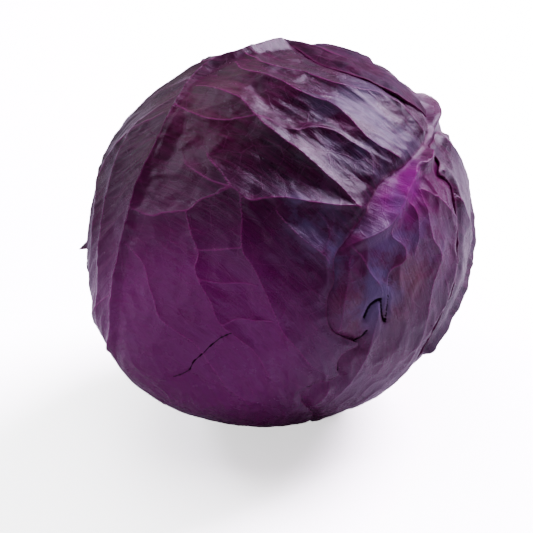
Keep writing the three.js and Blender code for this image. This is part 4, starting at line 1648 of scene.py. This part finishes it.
@dataclass
class Studio:
    """Floor, lights and camera."""

    head_centre: tuple[float, float, float] = (0.0, 0.0, 0.079)
    aim: tuple[float, float, float] = (-0.0061, -0.0064, 0.0670)
    away: float = 0.9
    elevation: float = 28.0
    lens: float = 144.73
    floor_size: float = 6.0
    floor_drop: float = 0.0001  # under the head, so that the two don't share a plane
    floor_tone: Colour = (0.46, 0.45, 0.48)
    floor_in_gloss: Colour = (0.68, 0.61, 0.74)
    floor_to_camera: Colour = (8.0, 8.0, 8.0)
    sky_way: tuple[float, float, float] = (-0.62, 0.78, 0.08)  # where the room is brightest
    glow_way: tuple[float, float, float] = (-0.72, -0.60, -0.35)  # a low glow at the left
    sky_to_camera: float = 12.0
    lamps: tuple[Lamp, ...] = (
        Lamp("key", (0.80, 0.66, 0.98), 0.80, 42.0, (1.0, 0.84, 1.08)),
        Lamp("left", (-1.05, 0.45, 0.80), 0.30, 3.0, (0.95, 0.90, 1.08)),
        Lamp("overhead", (-0.2, 0.1, 1.5), 1.5, 11.0, in_gloss=False),
    )

    def build(self) -> None:
        """Sets the stage."""
        self.floor()
        self.world()
        for lamp in self.lamps:
            self.light(lamp)
        self.camera()

    def floor(self) -> None:
        """Lays a wide pale floor, brighter to the eye than to the head."""
        bm = bmesh.new()
        down = Matrix.Translation((0, 0, -self.floor_drop))
        bmesh.ops.create_grid(bm, x_segments=1, y_segments=1, size=self.floor_size, matrix=down)
        mesh = to_mesh(bm, "floor")
        material, plan = new_material("floor_paper")
        rays = plan.add("ShaderNodeLightPath").outputs
        tone = plan.blend(rays["Is Glossy Ray"], self.floor_tone, self.floor_in_gloss)
        tone = plan.blend(rays["Is Camera Ray"], tone, self.floor_to_camera)
        paper = plan.add("ShaderNodeBsdfDiffuse", inputs={"Color": tone})
        lift = plan.add("ShaderNodeEmission", inputs={"Strength": rays["Is Camera Ray"]})
        both = plan.add("ShaderNodeAddShader", inputs={0: paper.outputs[0], 1: lift.outputs[0]})
        plan.add("ShaderNodeOutputMaterial", inputs={"Surface": both.outputs[0]})
        mesh.materials.append(material)
        add_object("floor", mesh)

    def world(self) -> None:
        """Makes the room white to the eye, and dimmer for the light it gives."""
        world = bpy.data.worlds.new("studio")
        world.use_nodes = True
        world.node_tree.nodes.clear()
        plan = NodePlan(world.node_tree)
        place = plan.add("ShaderNodeTexCoord").outputs["Generated"]
        sky, glow = (
            plan.add(
                "ShaderNodeVectorMath", operation="DOT_PRODUCT", inputs={0: place, 1: way}
            ).outputs["Value"]
            for way in (self.sky_way, self.glow_way)
        )
        strength = plan.spread(sky, 0.35, 1.0, 0.03, 0.65)
        strength = plan.sum("ADD", strength, plan.spread(glow, 0.70, 0.86, 0, 1.8))
        path = plan.add("ShaderNodeLightPath").outputs["Is Camera Ray"]
        strength = plan.spread(path, 0, 1, strength, self.sky_to_camera)
        back = plan.add(
            "ShaderNodeBackground", inputs={"Color": (1, 1, 1, 1), "Strength": strength}
        )
        plan.add("ShaderNodeOutputWorld", inputs={"Surface": back.outputs[0]})
        bpy.context.scene.world = world

    def light(self, lamp: Lamp) -> None:
        """Puts up a lamp that faces the head."""
        light = bpy.data.lights.new(lamp.name, "AREA")
        light.shape, light.size, light.energy = "SQUARE", lamp.size, lamp.power
        light.color = lamp.colour
        thing = add_object(lamp.name, light)
        thing.visible_glossy = lamp.in_gloss
        self.turn(thing, lamp.place, self.head_centre)

    def camera(self) -> None:
        """Puts up the camera at the photograph's angle."""
        data = bpy.data.cameras.new("camera")
        data.lens, data.sensor_width = self.lens, 36.0
        camera = add_object("camera", data)
        tilt = math.radians(self.elevation)
        back = Vector((0, -math.cos(tilt), math.sin(tilt)))
        self.turn(camera, Vector(self.head_centre) + self.away * back, self.aim)
        bpy.context.scene.camera = camera

    @staticmethod
    def turn(
        thing: bpy.types.Object, place: Vector | tuple[float, ...], aim: tuple[float, ...]
    ) -> None:
        """Places a thing and turns it to a point.

        Args:
            thing: the lamp or camera.
            place: where it stands, in metres.
            aim: the point it faces.
        """
        thing.location = place
        thing.rotation_mode = "QUATERNION"
        thing.rotation_quaternion = (Vector(aim) - thing.location).to_track_quat("-Z", "Y")


FINISHES = {
    "right_leaf": LeafFinish(
        "right_leaf_skin", lamina=(0.085, 0.0008, 0.058), wax=0.06, gloss=0.34
    ),
    "back_leaf": LeafFinish("back_leaf_skin", wax=0.12, roughness=0.48, gloss=0.13),
    "side_leaf": LeafFinish("side_leaf_skin", wax=0.08),
}


def main() -> None:
    """Builds the head and its studio, and logs how many vertices each piece has."""
    logging.basicConfig(level=logging.INFO, format="%(message)s")
    noise.seed_set(NOISE_SEED)
    net, grain = vein_net_group(), fine_grain_group()
    leaves = [WrapperLeaf(spec) for spec in LEAVES]
    common = LeafFinish("leaf_skin").material(net, grain)
    for index, leaf in enumerate(leaves):
        own = FINISHES.get(leaf.spec.name)
        leaf.build(leaves[:index], own.material(net, grain) if own else common)
    Heart().build(leaves)
    Stem().build()
    Studio().build()


if __name__ == "__main__":
    main()
